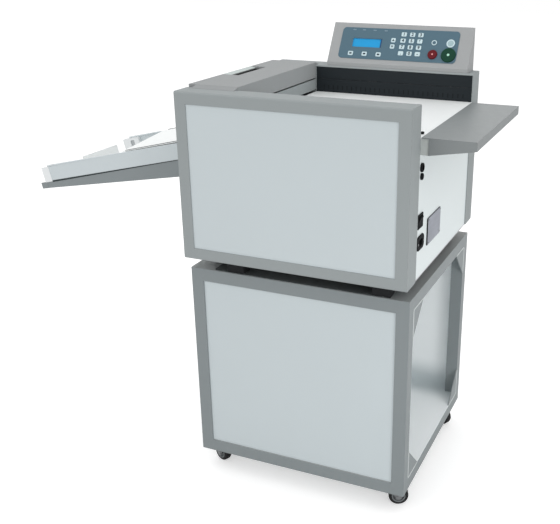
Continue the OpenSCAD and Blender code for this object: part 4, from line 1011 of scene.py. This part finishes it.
def bracket_tips():
    """Caps on the low ends of the tray brackets: each carries the bracket's tapered outline on by a few millimetres."""
    tips = [facing(side, stacked(tray_side(side), [TIP_OUTLINE, TIP_OUTLINE], TIP_DEPTHS)) for side in (-1, 1)]
    add_piece("bracket_tips", *joined(tips), TUBE_GREY, "frame_grey")


def top_sheet():
    """The painted upper face of the stand's deck, between its rails: a rounded slab."""
    size = np.array([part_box(name)[1][axis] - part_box(name)[0][axis]
                     for name, axis in (("stand_front_panel", 0), ("stand_gussets", 1))])
    part = slab(stand_top(), np.zeros(2), *size, SHEET_ROUND, 0, SHEET_TALL, SMALL_EDGE)
    add_piece("top_sheet", *part, TUBE_GREY, "frame_grey")


def bay_coves():
    """Hollow quarter rounds between the stand's floor and its front and rear panels: an arc carried along X."""
    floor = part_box("stand_gussets")[0][2]
    low, high = np.array(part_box("stand_rear_panel"))
    turn = np.linspace(0, -math.pi / 2, COVE_STEPS)
    arc = np.stack([np.cos(turn) - 1, np.sin(turn) + 1], -1) * (low[1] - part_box("stand_gussets")[1][1])
    ring = np.concatenate([[[0, 0]], arc])
    rear_ring = ring + [low[1], floor]
    front_ring = ring * [-1, 1] + [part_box("stand_front_panel")[1][1], floor]
    rear = stacked(along_x, [rear_ring, rear_ring], [low[0], high[0]])
    front = flipped(stacked(along_x, [front_ring, front_ring], [low[0], high[0]]))
    add_piece("bay_coves", *joined([rear, front]), BAY_COVE, "panel_pale")


def gusset_highlights():
    """A pale rod where each gusset meets its post and rail, a painted highlight standing in for the light caught on the
    tube's edge: a circle carried along two legs and the bend between.
    """
    low, high = np.array(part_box("stand_gussets"))
    leg = np.linspace(GUSSET_LEG, HIGHLIGHT_CORNER, HIGHLIGHT_STEPS)
    turn = np.linspace(0, math.pi / 2, HIGHLIGHT_STEPS)
    bend = HIGHLIGHT_BEND * (1 - np.stack([np.sin(turn), np.cos(turn)], -1))[::-1]
    still = np.zeros_like(leg)
    path = np.concatenate([np.stack([still, leg], -1), bend, np.stack([leg, still], -1)[::-1]])
    painted_rods = []
    for x in (low[0], high[0]):
        for y, inward in ((low[1], 1), (high[1], -1)):
            for z, upward in ((low[2], 1), (high[2], -1)):
                edge = np.column_stack([np.full(len(path), x), y + inward * path[:, 0], z + upward * path[:, 1]])
                painted_rods.append(rod(edge, (1.0, 0, 0), HIGHLIGHT_RADIUS, HIGHLIGHT_RADIUS))
    add_piece("gusset_highlights", *joined(painted_rods), HIGHLIGHT_PALE, "frame_grey", smooth=True)


tray_end_caps()
tray_shade_strips()
stand_shade_mat()
front_pads()
tray_hems()
apron_shade_rods()
bracket_tips()
top_sheet()
bay_coves()
gusset_highlights()
finger_plate()
cover_ramps()
paper_sensor()
fence_slots()


# Stage

def studio():
    """A pale floor, a white surround and soft lamps at a plain level."""
    side = np.array([[-1, -1, 0], [1, -1, 0], [1, 1, 0], [-1, 1, 0]]) * FLOOR_SIZE
    mesh = bpy.data.meshes.new("floor")
    mesh.from_pydata(side.tolist(), [], [[0, 1, 2, 3]])
    floor = shown("floor", mesh)
    ground = bpy.data.materials.new("floor_white")
    ground.use_nodes = True
    tree = ground.node_tree
    tree.nodes.clear()
    matte = add_node(tree, "ShaderNodeBsdfDiffuse", Color=FLOOR_TONE)
    lift = add_node(tree, "ShaderNodeEmission", Color=WHITE, Strength=FLOOR_LIFT)
    rays = tree.nodes.new("ShaderNodeLightPath")
    bright = add_node(tree, "ShaderNodeAddShader", i0=matte.outputs[0], i1=lift.outputs[0])
    both = add_node(tree, "ShaderNodeMixShader", i0=rays.outputs["Is Camera Ray"], i1=matte.outputs[0],
                    i2=bright.outputs[0])
    add_node(tree, "ShaderNodeOutputMaterial", Surface=both.outputs[0])
    floor.data.materials.append(ground)

    world = bpy.data.worlds.new("surround")
    bpy.context.scene.world = world
    world.use_nodes = True
    tree = world.node_tree
    tree.nodes.clear()
    light = add_node(tree, "ShaderNodeBackground", Color=WHITE, Strength=SURROUND_LIGHT)
    white = add_node(tree, "ShaderNodeBackground", Color=WHITE, Strength=1.0)
    rays = tree.nodes.new("ShaderNodeLightPath")
    seen = maths(tree, "MAXIMUM", rays.outputs["Is Camera Ray"], rays.outputs["Is Transmission Ray"])
    seen = maths(tree, "MAXIMUM", seen, rays.outputs["Is Glossy Ray"])
    both = add_node(tree, "ShaderNodeMixShader", i0=seen, i1=light.outputs[0], i2=white.outputs[0])
    add_node(tree, "ShaderNodeOutputWorld", Surface=both.outputs[0])

    for name, place, target, size, power, spread in LAMPS:
        lamp = bpy.data.lights.new(name, "AREA")
        lamp.size = size
        lamp.energy = power
        lamp.spread = math.radians(spread)
        stand = shown(name, lamp)
        stand.location = place
        away = np.array(place) - np.array(target)
        flat = math.hypot(away[0], away[1])
        stand.rotation_euler = (math.atan2(flat, away[2]), 0, math.atan2(away[0], -away[1]))


def camera():
    """The eye of the photograph: its place from the stand's middle, its focal length and optical centre in pixels."""
    low, high = np.array(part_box("stand_posts"))
    middle = (low + high) / 2
    view = bpy.data.cameras.new("photo_camera")
    view.sensor_width = SENSOR
    view.lens = FOCAL_PIXELS / PHOTO_WIDTH * SENSOR
    view.shift_x = (PHOTO_CENTRE[0] - OPTICAL_CENTRE[0]) / PHOTO_WIDTH
    view.shift_y = (OPTICAL_CENTRE[1] - PHOTO_CENTRE[1]) / PHOTO_WIDTH
    view.clip_end = CLIP_END
    eye = shown("photo_camera", view)
    eye.location = (middle[0] + EYE_FROM_STAND[0], middle[1] + EYE_FROM_STAND[1], EYE_FROM_STAND[2])
    eye.rotation_euler = (math.pi / 2 - EYE_DROP, 0, EYE_TURN)
    bpy.context.scene.camera = eye


studio()
camera()
bpy.context.scene.view_settings.view_transform = "Standard"
